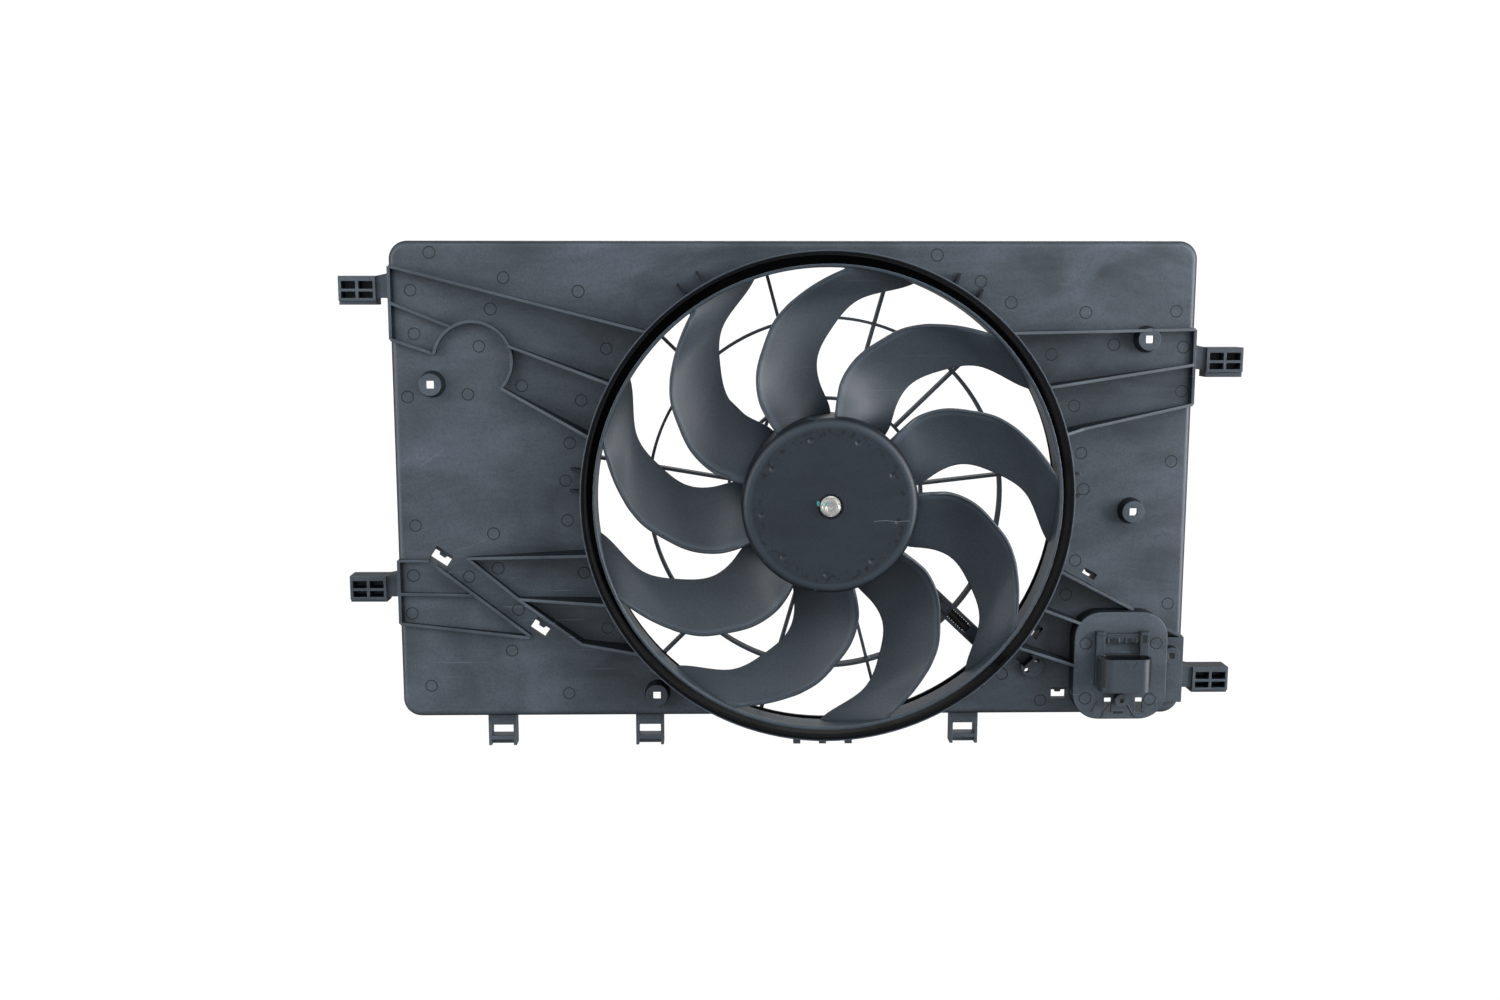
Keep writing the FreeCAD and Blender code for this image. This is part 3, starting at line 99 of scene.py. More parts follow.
class Graph:
    """Small helper that adds and joins shader nodes."""

    def __init__(self, name):
        self.material = bpy.data.materials.new(name)
        self.material.use_nodes = True
        self.tree = self.material.node_tree
        self.shader = self.tree.nodes["Principled BSDF"]
        self.place = self.add("ShaderNodeTexCoord").outputs["Object"]

    def add(self, kind, **values):
        node = self.tree.nodes.new(kind)
        for key, value in values.items():
            setattr(node, key, value)
        return node

    def join(self, output, socket):
        self.tree.links.new(output, socket)

    def set(self, key, value):
        """Gives an input of the shader a number or a colour, or joins a node's output to it."""
        if isinstance(value, bpy.types.NodeSocket):
            self.join(value, self.shader.inputs[key])
        else:
            self.shader.inputs[key].default_value = value

    def noise(self, scale, detail=3.0, stretch=(1, 1, 1), turn=(0, 0, 0), distortion=0.0, rough=0.5):
        spread = self.add("ShaderNodeMapping")
        spread.inputs["Scale"].default_value = stretch
        spread.inputs["Rotation"].default_value = turn
        self.join(self.place, spread.inputs["Vector"])
        node = self.add("ShaderNodeTexNoise")
        node.inputs["Scale"].default_value = scale
        node.inputs["Detail"].default_value = detail
        node.inputs["Roughness"].default_value = rough
        node.inputs["Distortion"].default_value = distortion
        self.join(spread.outputs["Vector"], node.inputs["Vector"])
        return node.outputs["Fac"]

    def remap(self, value, low, high, to_low=0.0, to_high=1.0):
        node = self.add("ShaderNodeMapRange")
        self.join(value, node.inputs["Value"])
        for key, number in (("From Min", low), ("From Max", high), ("To Min", to_low), ("To Max", to_high)):
            node.inputs[key].default_value = number
        return node.outputs["Result"]

    def math(self, operation, a, b):
        node = self.add("ShaderNodeMath", operation=operation)
        for socket, value in zip(node.inputs, (a, b)):
            if isinstance(value, (int, float)):
                socket.default_value = value
            else:
                self.join(value, socket)
        return node.outputs["Value"]

    def times(self, a, b):
        return self.math("MULTIPLY", a, b)

    def blend(self, amount, a, b):
        node = self.add("ShaderNodeMix", data_type="RGBA")
        self.join(amount, node.inputs["Factor"])
        for socket, value in ((node.inputs[6], a), (node.inputs[7], b)):
            if isinstance(value, tuple):
                socket.default_value = value + (1.0,)
            else:
                self.join(value, socket)
        return node.outputs[2]

    def edges(self, radius):
        """Near 1 on sharp edges, from the difference between the rounded and the true normal."""
        bevel = self.add("ShaderNodeBevel", samples=4)
        bevel.inputs["Radius"].default_value = radius * MM
        flat = self.add("ShaderNodeNewGeometry").outputs["Normal"]
        dot = self.add("ShaderNodeVectorMath", operation="DOT_PRODUCT")
        self.join(bevel.outputs["Normal"], dot.inputs[0])
        self.join(flat, dot.inputs[1])
        return self.remap(dot.outputs["Value"], 0.995, 0.86), bevel.outputs["Normal"]

    def split(self, vector):
        parts = self.add("ShaderNodeSeparateXYZ")
        self.join(vector, parts.inputs["Vector"])
        return [parts.outputs[axis] for axis in ("X", "Y", "Z")]

    def radius(self):
        """Distance from the fan axis, in metres."""
        x, _, z = self.split(self.place)
        return self.math("POWER", self.math("ADD", self.times(x, x), self.times(z, z)), 0.5)

    def inside(self, radius):
        """1 within a radius of the fan axis."""
        soft_edge = 0.4
        return self.remap(self.radius(), radius * MM, (radius - soft_edge) * MM)

    def within(self, lows, highs):
        """1 in a box."""
        mask = None
        for value, low, high in zip(self.split(self.place), lows, highs):
            above = self.math("GREATER_THAN", value, low * MM)
            below = self.math("LESS_THAN", value, high * MM)
            both = self.times(above, below)
            mask = both if mask is None else self.times(mask, both)
        return mask

    def band(self, middle, half):
        """1 on a ring about the fan axis, fading towards its two sides."""
        off = self.math("ABSOLUTE", self.math("SUBTRACT", self.radius(), middle * MM), 0.0)
        return self.remap(off, half * MM, half * MM * 0.4)

    def blade_front_highlight(self):
        """1 on a soft strip along each blade's front edge, where a highlight is painted."""
        x, _, z = self.split(self.place)
        span = self.remap(self.radius(), HUB_RADIUS * MM, BAND_INNER_RADIUS * MM)
        curve = self.add("ShaderNodeFloatCurve")
        points = curve.mapping.curves[0].points
        points[0].location = (EDGE[0][0], EDGE[0][1] / 180.0)
        points[1].location = (EDGE[-1][0], EDGE[-1][1] / 180.0)
        for share, angle, _ in EDGE[1:-1]:
            points.new(share, angle / 180.0)
        curve.mapping.update()
        self.join(span, curve.inputs["Value"])
        front = self.times(curve.outputs["Value"], math.pi)
        behind = self.math("SUBTRACT", front, self.math("ARCTAN2", z, x))
        behind = self.math("FLOORED_MODULO", behind, 2 * math.pi / BLADES)
        inset = self.times(behind, self.radius())
        start, full, fade, end = (at * MM for at in BLADE_HIGHLIGHT)
        return self.times(self.remap(inset, start, full), self.remap(inset, end, fade))

    def upright(self):
        """1 on walls that stand on the panel, 0 on faces that look along the fan axis."""
        normal = self.add("ShaderNodeNewGeometry").outputs["Normal"]
        return self.remap(self.math("ABSOLUTE", self.split(normal)[1], 0.0), 0.92, 0.5)

    def bump(self, height, strength, distance, normal=None):
        node = self.add("ShaderNodeBump")
        node.inputs["Strength"].default_value = strength
        node.inputs["Distance"].default_value = distance * MM
        self.join(height, node.inputs["Height"])
        if normal is not None:
            self.join(normal, node.inputs["Normal"])
        return node.outputs["Normal"]


def scaled(colour, factor):
    return tuple(c * factor for c in colour)


def flow(g):
    """The cloudy and streaky flow of moulded plastic."""
    cloud = g.noise(9.0, detail=4.0, stretch=(1.0, 1.0, 1.6), distortion=1.4)
    streak = g.noise(26.0, detail=5.0, stretch=(0.35, 1.0, 1.3), turn=(0.0, 0.5, 0.0), distortion=0.8,
                     rough=0.6)
    return g.math("ADD", g.times(cloud, 0.6), g.times(streak, 0.4))


def scratch_lines(g):
    """1 on a few long, fine scratches in three directions, in patches."""
    lines = None
    for turn, stretch in ((0.6, 60.0), (-0.9, 80.0), (1.5, 45.0)):
        line = g.noise(11.0, detail=1.5, stretch=(1.0, 1.0, stretch), turn=(0.0, turn, 0.0))
        patch = g.noise(7.0, detail=2.0, turn=(0.3, turn, 0.2))
        line = g.times(g.remap(line, 0.735, 0.76), g.remap(patch, 0.56, 0.66))
        lines = line if lines is None else g.math("MAXIMUM", lines, line)
    return lines


def moulded(name, colour, rough, cloud=0.3, grain=0.25, scratch=0.6, edge=1.5, edge_radius=0.6,
            shaded_inside=None, wall_shade=0.0, gloss=0.5, scuffs=None, shaded_box=None, highlight_ring=None,
            blade_highlight=False):
    """Moulded plastic: cloudy flow, fine speckle, a few scratches and a painted highlight on sharp edges.

    cloud, grain, scratch and edge say how strong these are, and wall how strongly painted shade darkens
    upright walls. shaded_inside is the radius and shaded_box the box where painted shade darkens the colour
    where little light gets in. scuffs are rings of dark scuffs and shoulder a ring of painted highlight
    about the fan axis, given as middle radius and half width. blade_highlight adds a painted highlight along
    each blade's front edge.
    """
    g = Graph(name)

    def tinted(below, mask, share, factor):
        """Mixes a share of the colour times factor into what is below, where mask is 1."""
        return g.blend(g.times(mask, share), below, scaled(colour, factor))

    tone = flow(g)
    speckle = g.noise(1400.0, detail=2.0)
    pits = g.remap(g.noise(620.0, detail=2.0, rough=0.7), 0.4, 0.66)
    base = g.blend(g.remap(tone, 0.33, 0.68), scaled(colour, 1.0 - cloud), scaled(colour, 1.0 + cloud))
    base = tinted(base, g.remap(speckle, 0.62, 0.8), share=0.35, factor=1.9)
    base = tinted(base, pits, share=0.34, factor=0.35)
    if scuffs:
        flakes = g.remap(g.noise(260.0, distortion=0.5), 0.56, 0.62)
        base = tinted(base, g.times(g.band(*scuffs), flakes), share=0.8, factor=0.3)
    # Painted highlight: a paler ring about the fan axis, where the hub's edge rounds off.
    if highlight_ring:
        base = tinted(base, g.band(*highlight_ring), share=0.5, factor=2.1)
    # Painted highlight: a paler strip along each blade's front edge.
    if blade_highlight:
        base = tinted(base, g.blade_front_highlight(), share=0.5, factor=2.0)
    # Painted shade: upright walls are darkened towards a small share of the colour and made less glossy.
    shade_mask = None
    if wall_shade:
        shade_mask = g.times(g.upright(), wall_shade)
        base = g.blend(shade_mask, base, scaled(colour, SHADE))
    base = tinted(base, scratch_lines(g), share=scratch, factor=3.2)
    # Painted highlight: sharp edges are made paler, broken up by noise.
    edge_glint, rounded_normal = g.edges(edge_radius)
    glint_breakup = g.remap(g.noise(160.0), 0.25, 0.6, 0.45, 1.0)
    base = tinted(base, g.times(edge_glint, glint_breakup), share=0.55, factor=1.0 + edge)
    # Painted shade: darker within a radius of the fan axis, and less glossy there.
    if shaded_inside:
        inside_shade = g.inside(shaded_inside)
        base = g.blend(inside_shade, base, scaled(colour, SHADE))
        shade_mask = inside_shade if shade_mask is None else g.math("MAXIMUM", shade_mask, inside_shade)
    # Painted shade: darker inside a box.
    if shaded_box:
        base = g.blend(g.within(*shaded_box), base, scaled(colour, CUP_SHADE))
    dull = g.remap(tone, 0.3, 0.7, rough - 0.05, rough + 0.08)
    skin = g.math("ADD", g.times(g.noise(2600.0, detail=2.0), grain), g.times(g.noise(55.0), 0.8))
    g.set("Base Color", base)
    g.set("Specular IOR Level", gloss if shade_mask is None else g.remap(shade_mask, 0.0, 1.0, gloss, gloss * 0.2))
    g.set("Roughness", g.math("ADD", dull, g.remap(speckle, 0.3, 0.7, -0.03, 0.03)))
    g.set("Normal", g.bump(skin, 0.35, 0.12, rounded_normal))
    g.set("IOR", 1.5)
    return g.material


def metal(name, colour, rough, turned=False, tarnish=0.25):
    """Plated or drawn steel: fine lines, dull patches and small spots."""
    g = Graph(name)
    patch = g.noise(120.0, detail=4.0, distortion=0.6)
    lines = g.noise(30.0, detail=2.0, stretch=(1.0, 60.0, 1.0) if turned else (40.0, 1.0, 1.0))
    dark, bright = scaled(colour, 1.0 - tarnish), scaled(colour, 1.0 + 0.3 * tarnish)
    base = g.blend(g.remap(patch, 0.35, 0.7), dark, bright)
    # Painted highlight: sharp edges are made paler.
    edge_glint, rounded_normal = g.edges(0.3)
    dull = g.math("ADD", g.times(patch, 0.6), g.times(lines, 0.4))
    g.set("Base Color", g.blend(g.times(edge_glint, 0.5), base, scaled(colour, 1.3)))
    g.set("Metallic", 1.0)
    g.set("Roughness", g.remap(dull, 0.3, 0.7, rough - 0.08, rough + 0.14))
    g.set("Normal", g.bump(lines, 0.2, 0.08, rounded_normal))
    return g.material


def soft(name, colour, rough, scale=400.0):
    """Rubber, paint or carbon: a dull, finely mottled skin."""
    g = Graph(name)
    mottle = g.noise(scale, detail=4.0)
    dust = g.noise(35.0, distortion=0.7)
    pale = tuple(min(1.0, c + 0.05) for c in colour)
    base = g.blend(g.remap(mottle, 0.3, 0.7), scaled(colour, 0.75), scaled(colour, 1.25))
    g.set("Base Color", g.blend(g.remap(dust, 0.52, 0.75, 0.0, 0.3), base, pale))
    g.set("Roughness", g.remap(mottle, 0.3, 0.7, rough - 0.06, rough + 0.06))
    g.set("Normal", g.bump(mottle, 0.3, 0.1))
    return g.material


# Where the plastics' colour changes from place to place: painted shade within a radius, a ring of dark scuffs
# and a ring of painted highlight about the fan axis, and painted shade in a box
LEDGE_RADIUS = 198.6
HUB_SCUFFS = (57.5, 4.5)
HUB_HIGHLIGHT_RING = (64.8, 3.4)
CUP_INSIDE = ((225.8, -66.0, -154.0), (265.2, -49.0, -130.6))

# edge sets how strong the painted edge highlight is, and the wall setting how strongly painted shade darkens
# upright walls
SHROUD = moulded("shroud_plastic", (0.067, 0.086, 0.110), 0.46, cloud=0.5, edge=0.9, wall_shade=0.82)
COLLAR = moulded("collar_plastic", (0.060, 0.079, 0.102), 0.46, edge=3.0, shaded_inside=LEDGE_RADIUS, wall_shade=0.92)
CLIP = moulded("clip_plastic", (0.075, 0.095, 0.120), 0.46, wall_shade=0.35)
FAN = moulded("fan_plastic", (0.040, 0.054, 0.072), 0.48, cloud=0.14, grain=0.15, scratch=0.25, gloss=0.45,
              blade_highlight=True)
BAND = moulded("band_plastic", (0.040, 0.054, 0.072), 0.42, cloud=0.14, scratch=0.25, edge=5.0,
               edge_radius=0.8)
HUB = moulded("hub_plastic", (0.022, 0.031, 0.043), 0.44, cloud=0.2, grain=0.15, scratch=0.5, edge=2.4,
              wall_shade=0.6, gloss=0.42, scuffs=HUB_SCUFFS, highlight_ring=HUB_HIGHLIGHT_RING)
BLACK = moulded("black_plastic", (0.044, 0.058, 0.075), 0.40, cloud=0.2, scratch=0.3, edge=2.2, wall_shade=0.45,
                shaded_box=CUP_INSIDE)
# Near-black colour that paints the shade of fine grooves and openings: ejector rings and connector lines and
# windows
GROOVE_SHADE = moulded("groove_shade", (0.010, 0.013, 0.016), 0.5, cloud=0.2, scratch=0.0, edge=0.2)
PALE = moulded("flow_line", (0.15, 0.17, 0.19), 0.5, scratch=0.0, edge=0.2)
STEEL = metal("plated_steel", (0.86, 0.86, 0.83), 0.30)
CAN = metal("can_steel", (0.30, 0.31, 0.33), 0.42, turned=True)
LAMINATE = metal("laminations", (0.26, 0.26, 0.27), 0.5, turned=True)
COPPER = metal("copper", (0.78, 0.40, 0.24), 0.35)
RUBBER = soft("black_rubber", (0.020, 0.020, 0.021), 0.62)
SLEEVE = soft("lead_sleeve", (0.016, 0.016, 0.018), 0.5, scale=700.0)
CARBON = soft("carbon", (0.05, 0.05, 0.05), 0.55)
MAGNET = soft("magnet", (0.07, 0.07, 0.075), 0.5)
PAINT = soft("paint_dab", (0.03, 0.36, 0.34), 0.35, scale=250.0)

LOOKS = {
    SHROUD: ["shroud_panel", "stator_struts", "guard_ring", "motor_ring", "side_arms"],
    CLIP: ["hook_clips"],
    COLLAR: ["fan_ring"],
    FAN: ["fan_blades"],
    BAND: ["fan_band"],
    HUB: ["fan_hub"],
    BLACK: ["connector_shell", "conduit_clips", "motor_end_cap", "brush_card"],
    STEEL: ["bush_sleeves", "motor_bolts", "front_bearing", "rear_bearing", "hub_insert", "shaft_washer",
            "shaft_nut", "motor_shaft"],
    CAN: ["motor_can"],
    LAMINATE: ["armature_core"],
    COPPER: ["connector_terminals", "armature_windings", "commutator"],
    RUBBER: ["rubber_bushes"],
    SLEEVE: ["wire_conduit"],
    CARBON: ["motor_brushes"],
    MAGNET: ["motor_magnets"],
}
for look, names in LOOKS.items():
    for name in names:
        mesh = nodes[name].data
        mesh.materials.clear()
        mesh.materials.append(look)


# Helpers for small pieces; all take millimetres
def piece(name, mesh, look, body):
    mesh.materials.append(look)
    obj = bpy.data.objects.new(name, mesh)
    bpy.context.scene.collection.objects.link(obj)
    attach(obj, body)


def mesh_from(name, bm, smooth=35.0):
    mesh = bpy.data.meshes.new(name)
    bmesh.ops.recalc_face_normals(bm, faces=bm.faces)
    bm.to_mesh(mesh)
    bm.free()
    mesh.shade_smooth()
    mesh.set_sharp_from_angle(angle=math.radians(smooth))
    return mesh


def around(count):
    """Angles of count even steps round a circle."""
    return [2 * math.pi * i / count for i in range(count)]


def turned_profile(bm, centre, profile, steps):
    """Adds a surface of revolution about Y through centre; profile is pairs of radius and height."""
    rows = []
    for a in around(steps):
        places = [Vector((radius * math.cos(a), height, radius * math.sin(a))) for radius, height in profile]
        rows.append([bm.verts.new((Vector(centre) + at) * MM) for at in places])
    for i, a in enumerate(rows):
        b = rows[(i + 1) % steps]
        for j in range(len(profile) - 1):
            bm.faces.new((a[j], a[j + 1], b[j + 1], b[j]))


def strip(bm, points, y, width, proud):
    """A low ridge with sloping sides along points on a face at depth y."""
    section = ((-0.5, -SINK), (-0.25, proud), (0.25, proud), (0.5, -SINK))
    rows = []
    for i, (x, z) in enumerate(points):
        x0, z0 = points[max(i - 1, 0)]
        x1, z1 = points[min(i + 1, len(points) - 1)]
        run = math.hypot(x1 - x0, z1 - z0)
        across_x, across_z = (z1 - z0) / run, -(x1 - x0) / run
        row = []
        for side, height in section:
            at = (x + across_x * side * width, y - height, z + across_z * side * width)
            row.append(bm.verts.new(Vector(at) * MM))
        rows.append(row)
    for a, b in zip(rows, rows[1:]):
        for j in range(len(section) - 1):
            bm.faces.new((a[j], a[j + 1], b[j + 1], b[j]))
    bm.faces.new(rows[0])
    bm.faces.new(rows[-1])


def plate(bm, outline, y, proud, rim):
    """A raised polygon with a chamfered rim, on a face at depth y."""
    cx = sum(x for x, z in outline) / len(outline)
    cz = sum(z for x, z in outline) / len(outline)
    foot, top = [], []
    for x, z in outline:
        reach = math.hypot(x - cx, z - cz)
        k = (reach - rim) / reach
        foot.append(bm.verts.new(Vector((x, y + SINK, z)) * MM))
        top.append(bm.verts.new(Vector((cx + k * (x - cx), y - proud, cz + k * (z - cz))) * MM))
    for i in range(len(outline)):
        j = (i + 1) % len(outline)
        bm.faces.new((foot[i], foot[j], top[j], top[i]))
    bm.faces.new(top)


def rounded(x0, x1, z0, z1, radius, steps=4):
    """Outline of a rectangle with round corners."""
    points = []
    for cx, cz, start in ((x1 - radius, z1 - radius, 0), (x0 + radius, z1 - radius, 90),
                          (x0 + radius, z0 + radius, 180), (x1 - radius, z0 + radius, 270)):
        for i in range(steps + 1):
            a = math.radians(start + 90 * i / steps)
            points.append((cx + radius * math.cos(a), cz + radius * math.sin(a)))
    return points


def ring(centre, side, up, radius, count):
    """Points round a centre, in the plane of the directions side and up."""
    return [centre + (side * math.cos(a) + up * math.sin(a)) * radius for a in around(count)]


def tube(bm, rings):
    """A closed tube through rings of points."""
    rows = [[bm.verts.new(at * MM) for at in points] for points in rings]
    for a, b in zip(rows, rows[1:]):
        for k in range(len(a)):
            m = (k + 1) % len(a)
            bm.faces.new((a[k], a[m], b[m], b[k]))
    bm.faces.new(rows[0])
    bm.faces.new(rows[-1])


# Round marks left by the mould's ejector pins: a fine raised ring at x, z, coloured near black as painted
# shade
MARKS = [
    (-320, 198), (-261, 178), (-201, 167), (-336, 168), (-272, 153), (-334, 133), (-282, 123), (-341, 82),
    (-292, 84), (-248, 91), (-200, 79), (-179, 121), (-338, -24), (-274, -31), (-210, 44), (-214, 13),
    (-213, -20), (-341, -66), (-343, -98), (-295, -67), (-271, -60), (-200, -64), (-255, -95), (-261, -130),
    (-329, -160), (-181, -111), (-214, -167), (89, 196), (125, 175), (150, 158), (211, 150), (184, 116),
    (235, 124), (204, 74), (211, 35), (285, 151), (292, 122), (292, 86), (214, 5), (286, 28), (209, -55),
    (288, -92), (202, -84), (150, -152), (183, -175),
]
PLATFORM_MARKS = [(216, -122), (275, -122), (217, -169), (271, -170)]
MARK_RADIUS = 4.8
MARK_SPREAD = 0.03
MARK_SECTION = ((-0.45, 0.02), (-0.28, -0.10), (0.28, -0.10), (0.45, 0.02))

lines = bmesh.new()
for places, face in ((MARKS, FACE), (PLATFORM_MARKS, PLATFORM_FACE)):
    for x, z in places:
        r = MARK_RADIUS * rng.uniform(1 - MARK_SPREAD, 1 + MARK_SPREAD)
        turned_profile(lines, (x, face, z), [(r + off, height) for off, height in MARK_SECTION], 40)
piece("ejector_lines", mesh_from("ejector_lines", lines), GROOVE_SHADE, "shroud")


# Connector: lines and small windows coloured near black as painted shade of grooves and openings, with the
# frames and ribs around them.
# A window is x from, x to, z from, z to, corner radius and face
LATCH_LINES = [
    [(242.7, -131.3), (243.1, -133.9), (245.0, -134.9), (245.7, -137.0)],
    [(252.1, -131.3), (251.8, -133.9), (250.2, -135.3), (250.2, -137.1)],
]
WINDOWS = [
    (262.1, 265.9, -120.6, -112.9, 0.5, POST_FACE),
    (235.0, 240.0, -121.0, -117.2, 0.4, BAR_FACE),
    (248.7, 253.7, -121.0, -117.2, 0.4, BAR_FACE),
    (240.8, 249.4, -182.2, -180.2, 0.4, PLATFORM_FACE),
]
BAR_FRAMES = [(232.9, 243.4), (247.8, 257.9)]
BAR_FRAME_LOW, BAR_FRAME_TOP, BAR_FRAME_LINE = -121.3, -116.6, -116.8
BAR_FRAME_WALL = 1.6
POST_CAPS = [223.9, 260.4]
POST_CAP_WIDTH = 6.7
POST_CAP_LOW, POST_CAP_TOP = -114.0, -111.6
RIM_RIB = [(223.0, -158.6), (224.3, -162.8), (227.1, -165.7)]
SLOT_RIBS = [
    [(222.4, -181.0), (227.6, -170.3)],
    [(230.9, -185.4), (234.8, -177.2), (239.3, -171.6)],
    [(252.0, -173.2), (259.1, -185.2)],
    [(260.2, -175.9), (267.7, -180.9)],
]

grooves = bmesh.new()
for points in LATCH_LINES:
    strip(grooves, points, CUP_FACE, width=0.7, proud=0.06)
for x0, x1, z0, z1, corner, face in WINDOWS:
    plate(grooves, rounded(x0, x1, z0, z1, corner), face, proud=0.05, rim=0.1)
piece("connector_grooves", mesh_from("connector_grooves", grooves), GROOVE_SHADE, "shroud")

frames = bmesh.new()
for x0, x1 in BAR_FRAMES:
    for a, b in ((x0, x0 + BAR_FRAME_WALL), (x1 - BAR_FRAME_WALL, x1)):
        plate(frames, rounded(a, b, BAR_FRAME_LOW, BAR_FRAME_TOP, 0.4), BAR_FACE, proud=0.9, rim=0.3)
    strip(frames, [(x0, BAR_FRAME_LINE), (x1, BAR_FRAME_LINE)], BAR_FACE, width=0.8, proud=0.7)
for x0 in POST_CAPS:
    cap = rounded(x0, x0 + POST_CAP_WIDTH, POST_CAP_LOW, POST_CAP_TOP, 0.5)
    plate(frames, cap, POST_FACE, proud=0.8, rim=0.3)
strip(frames, RIM_RIB, PLATFORM_FACE, width=1.0, proud=0.6)
for points in SLOT_RIBS:
    strip(frames, points, PLATFORM_FACE, width=1.1, proud=0.7)
piece("connector_frames", mesh_from("connector_frames", frames), BLACK, "shroud")


# Long pale scratches on the panel
SCRATCHES = [
    [(-180.7, 130.4), (-178.7, 125.5), (-176.8, 119.9)],
    [(-332.8, 24.6), (-322.7, 32.0), (-312.7, 39.3)],
    [(-306.2, -45.4), (-294.0, -41.8), (-281.2, -36.3)],
]
scratches = bmesh.new()
for points in SCRATCHES:
    strip(scratches, points, FACE, width=0.4, proud=0.03)
piece("panel_scratches", mesh_from("panel_scratches", scratches), PALE, "shroud")


# Lead: a corrugated sleeve between the straps, and a raised cushion on each strap.
# Places along the channel are distances from the fan axis
CHANNEL_TURN = math.radians(-43.5)
CHANNEL_Y = -17.5
ALONG = Vector((math.cos(CHANNEL_TURN), 0, math.sin(CHANNEL_TURN)))
ACROSS = Vector((-math.sin(CHANNEL_TURN), 0, math.cos(CHANNEL_TURN)))
DEPTH = Vector((0, 1, 0))
SLEEVE_RUNS = [(111.3, 130.7), (145.3, 166.7)]
RIB_PITCH = 2.4
VALLEY_RADIUS, RIB_RADIUS = 3.5, 4.15
RIB_SECTION = ((0.0, VALLEY_RADIUS), (0.3, VALLEY_RADIUS), (0.42, RIB_RADIUS), (0.88, RIB_RADIUS))
STRAP_PLACES = [104.0, 138.0, 174.0]
CUSHION_HALF_LENGTH, CUSHION_HALF_WIDTH = 5.8, 3.6


def ribbed_sleeve(bm, start, end):
    """A corrugated tube on the channel's middle line."""
    rings = []
    for i in range(int((end - start) / RIB_PITCH)):
        for share, radius in RIB_SECTION:
            centre = ALONG * (start + (i + share) * RIB_PITCH) + DEPTH * CHANNEL_Y
            rings.append(ring(centre, DEPTH, ACROSS, radius, 16))
    tube(bm, rings)


sleeve = bmesh.new()
for start, end in SLEEVE_RUNS:
    ribbed_sleeve(sleeve, start, end)
piece("lead_corrugation", mesh_from("lead_corrugation", sleeve, 25.0), SLEEVE, "shroud")

cushions = bmesh.new()
for middle in STRAP_PLACES:
    corners = []
    for u, v in ((-1, -1), (1, -1), (1, 1), (-1, 1)):
        at = ALONG * (middle + u * CUSHION_HALF_LENGTH) + ACROSS * (v * CUSHION_HALF_WIDTH)
        corners.append((at.x, at.z))
    plate(cushions, corners, STRAP_FACE, proud=1.1, rim=1.4)
piece("strap_cushions", mesh_from("strap_cushions", cushions), BLACK, "shroud")


# Fan: a rolled bead along each blade's front edge
BEAD_RADIUS = 1.5
BEAD_INSET = 1.1
BEAD_SETBACK = 0.4


def smooth_row(rows, t):
    """A point on the Catmull-Rom curve through rows of equal length, t from 0 to the last row."""
    i = min(int(t), len(rows) - 2)
    f = t - i
    a, b, c, d = rows[max(i - 1, 0)], rows[i], rows[i + 1], rows[min(i + 2, len(rows) - 1)]
    out = []
    for p, q, r, w in zip(a, b, c, d):
        out.append(0.5 * (2 * q + (r - p) * f + (2 * p - 5 * q + 4 * r - w) * f * f
                          + (3 * q - p - 3 * r + w) * f * f * f))
    return out


def edge_line(count=48):
    """Middle line of the first blade's bead, from hub to band."""
    line = []
    for i in range(count + 1):
        share, angle, depth = smooth_row(EDGE, (len(EDGE) - 1) * i / count)
        radius = HUB_RADIUS + share * (BAND_INNER_RADIUS - HUB_RADIUS)
        a = math.radians(angle) - BEAD_INSET / radius
        line.append(Vector((radius * math.cos(a), BAND_FRONT + depth + BEAD_SETBACK, radius * math.sin(a))))
    return line


def tube_along(bm, line, radius, sides=10):
    rings = []
    for i, at in enumerate(line):
        along = (line[min(i + 1, len(line) - 1)] - line[max(i - 1, 0)]).normalized()
        side = along.cross(DEPTH).normalized()
        rings.append(ring(at, side, side.cross(along), radius, sides))
    tube(bm, rings)


beads = bmesh.new()
first = edge_line()
for i in range(BLADES):
    turn = Matrix.Rotation(math.radians(-360.0 * i / BLADES), 3, "Y")
    tube_along(beads, [turn @ at for at in first], BEAD_RADIUS)
piece("blade_beads", mesh_from("blade_beads", beads, 60.0), BAND, "fan")


# Hub: a pale line where two fronts of plastic met
FLOW_LINE = [(34.1, -11.9), (38.8, -11.5), (43.5, -11.2), (48.3, -11.7), (52.2, -12.4), (56.9, -11.7),
             (62.5, -11.5)]
streak = bmesh.new()
strip(streak, FLOW_LINE, HUB_FACE, width=0.55, proud=0.07)
piece("hub_flow_line", mesh_from("hub_flow_line", streak), PALE, "fan")


# Shaft end: washer teeth, the nut's chamfer, the thread inside it and the shaft's turned tip.
# Profiles are pairs of radius and height behind the face
TEETH = 36
TOOTH_INNER, TOOTH_OUTER = 7.1, 8.3
TOOTH_SHARE = 0.55
NUT_CHAMFER = [(6.2, 0.35), (5.9, -0.02), (4.7, -0.02), (4.1, 0.5)]
THREAD = [(4.0, 0.0), (3.75, 0.12), (4.0, 0.24)]
THREAD_START = -92.38
THREAD_PITCH = 0.4
THREAD_TURNS = 4
SHAFT_TIP = [(3.6, 0.02), (3.3, -0.25), (1.3, -0.25), (0.9, -0.02)]


def teeth(bm, count, inner, outer, y):
    """A ring of fine serrations, as on a lock washer."""
    for i in range(count):
        a0, a1 = 2 * math.pi * i / count, 2 * math.pi * (i + TOOTH_SHARE) / count
        corners = ((inner, a0), (outer, a0), (outer, a1), (inner, a1))
        plate(bm, [(r * math.cos(a), r * math.sin(a)) for r, a in corners], y, proud=0.35, rim=0.12)


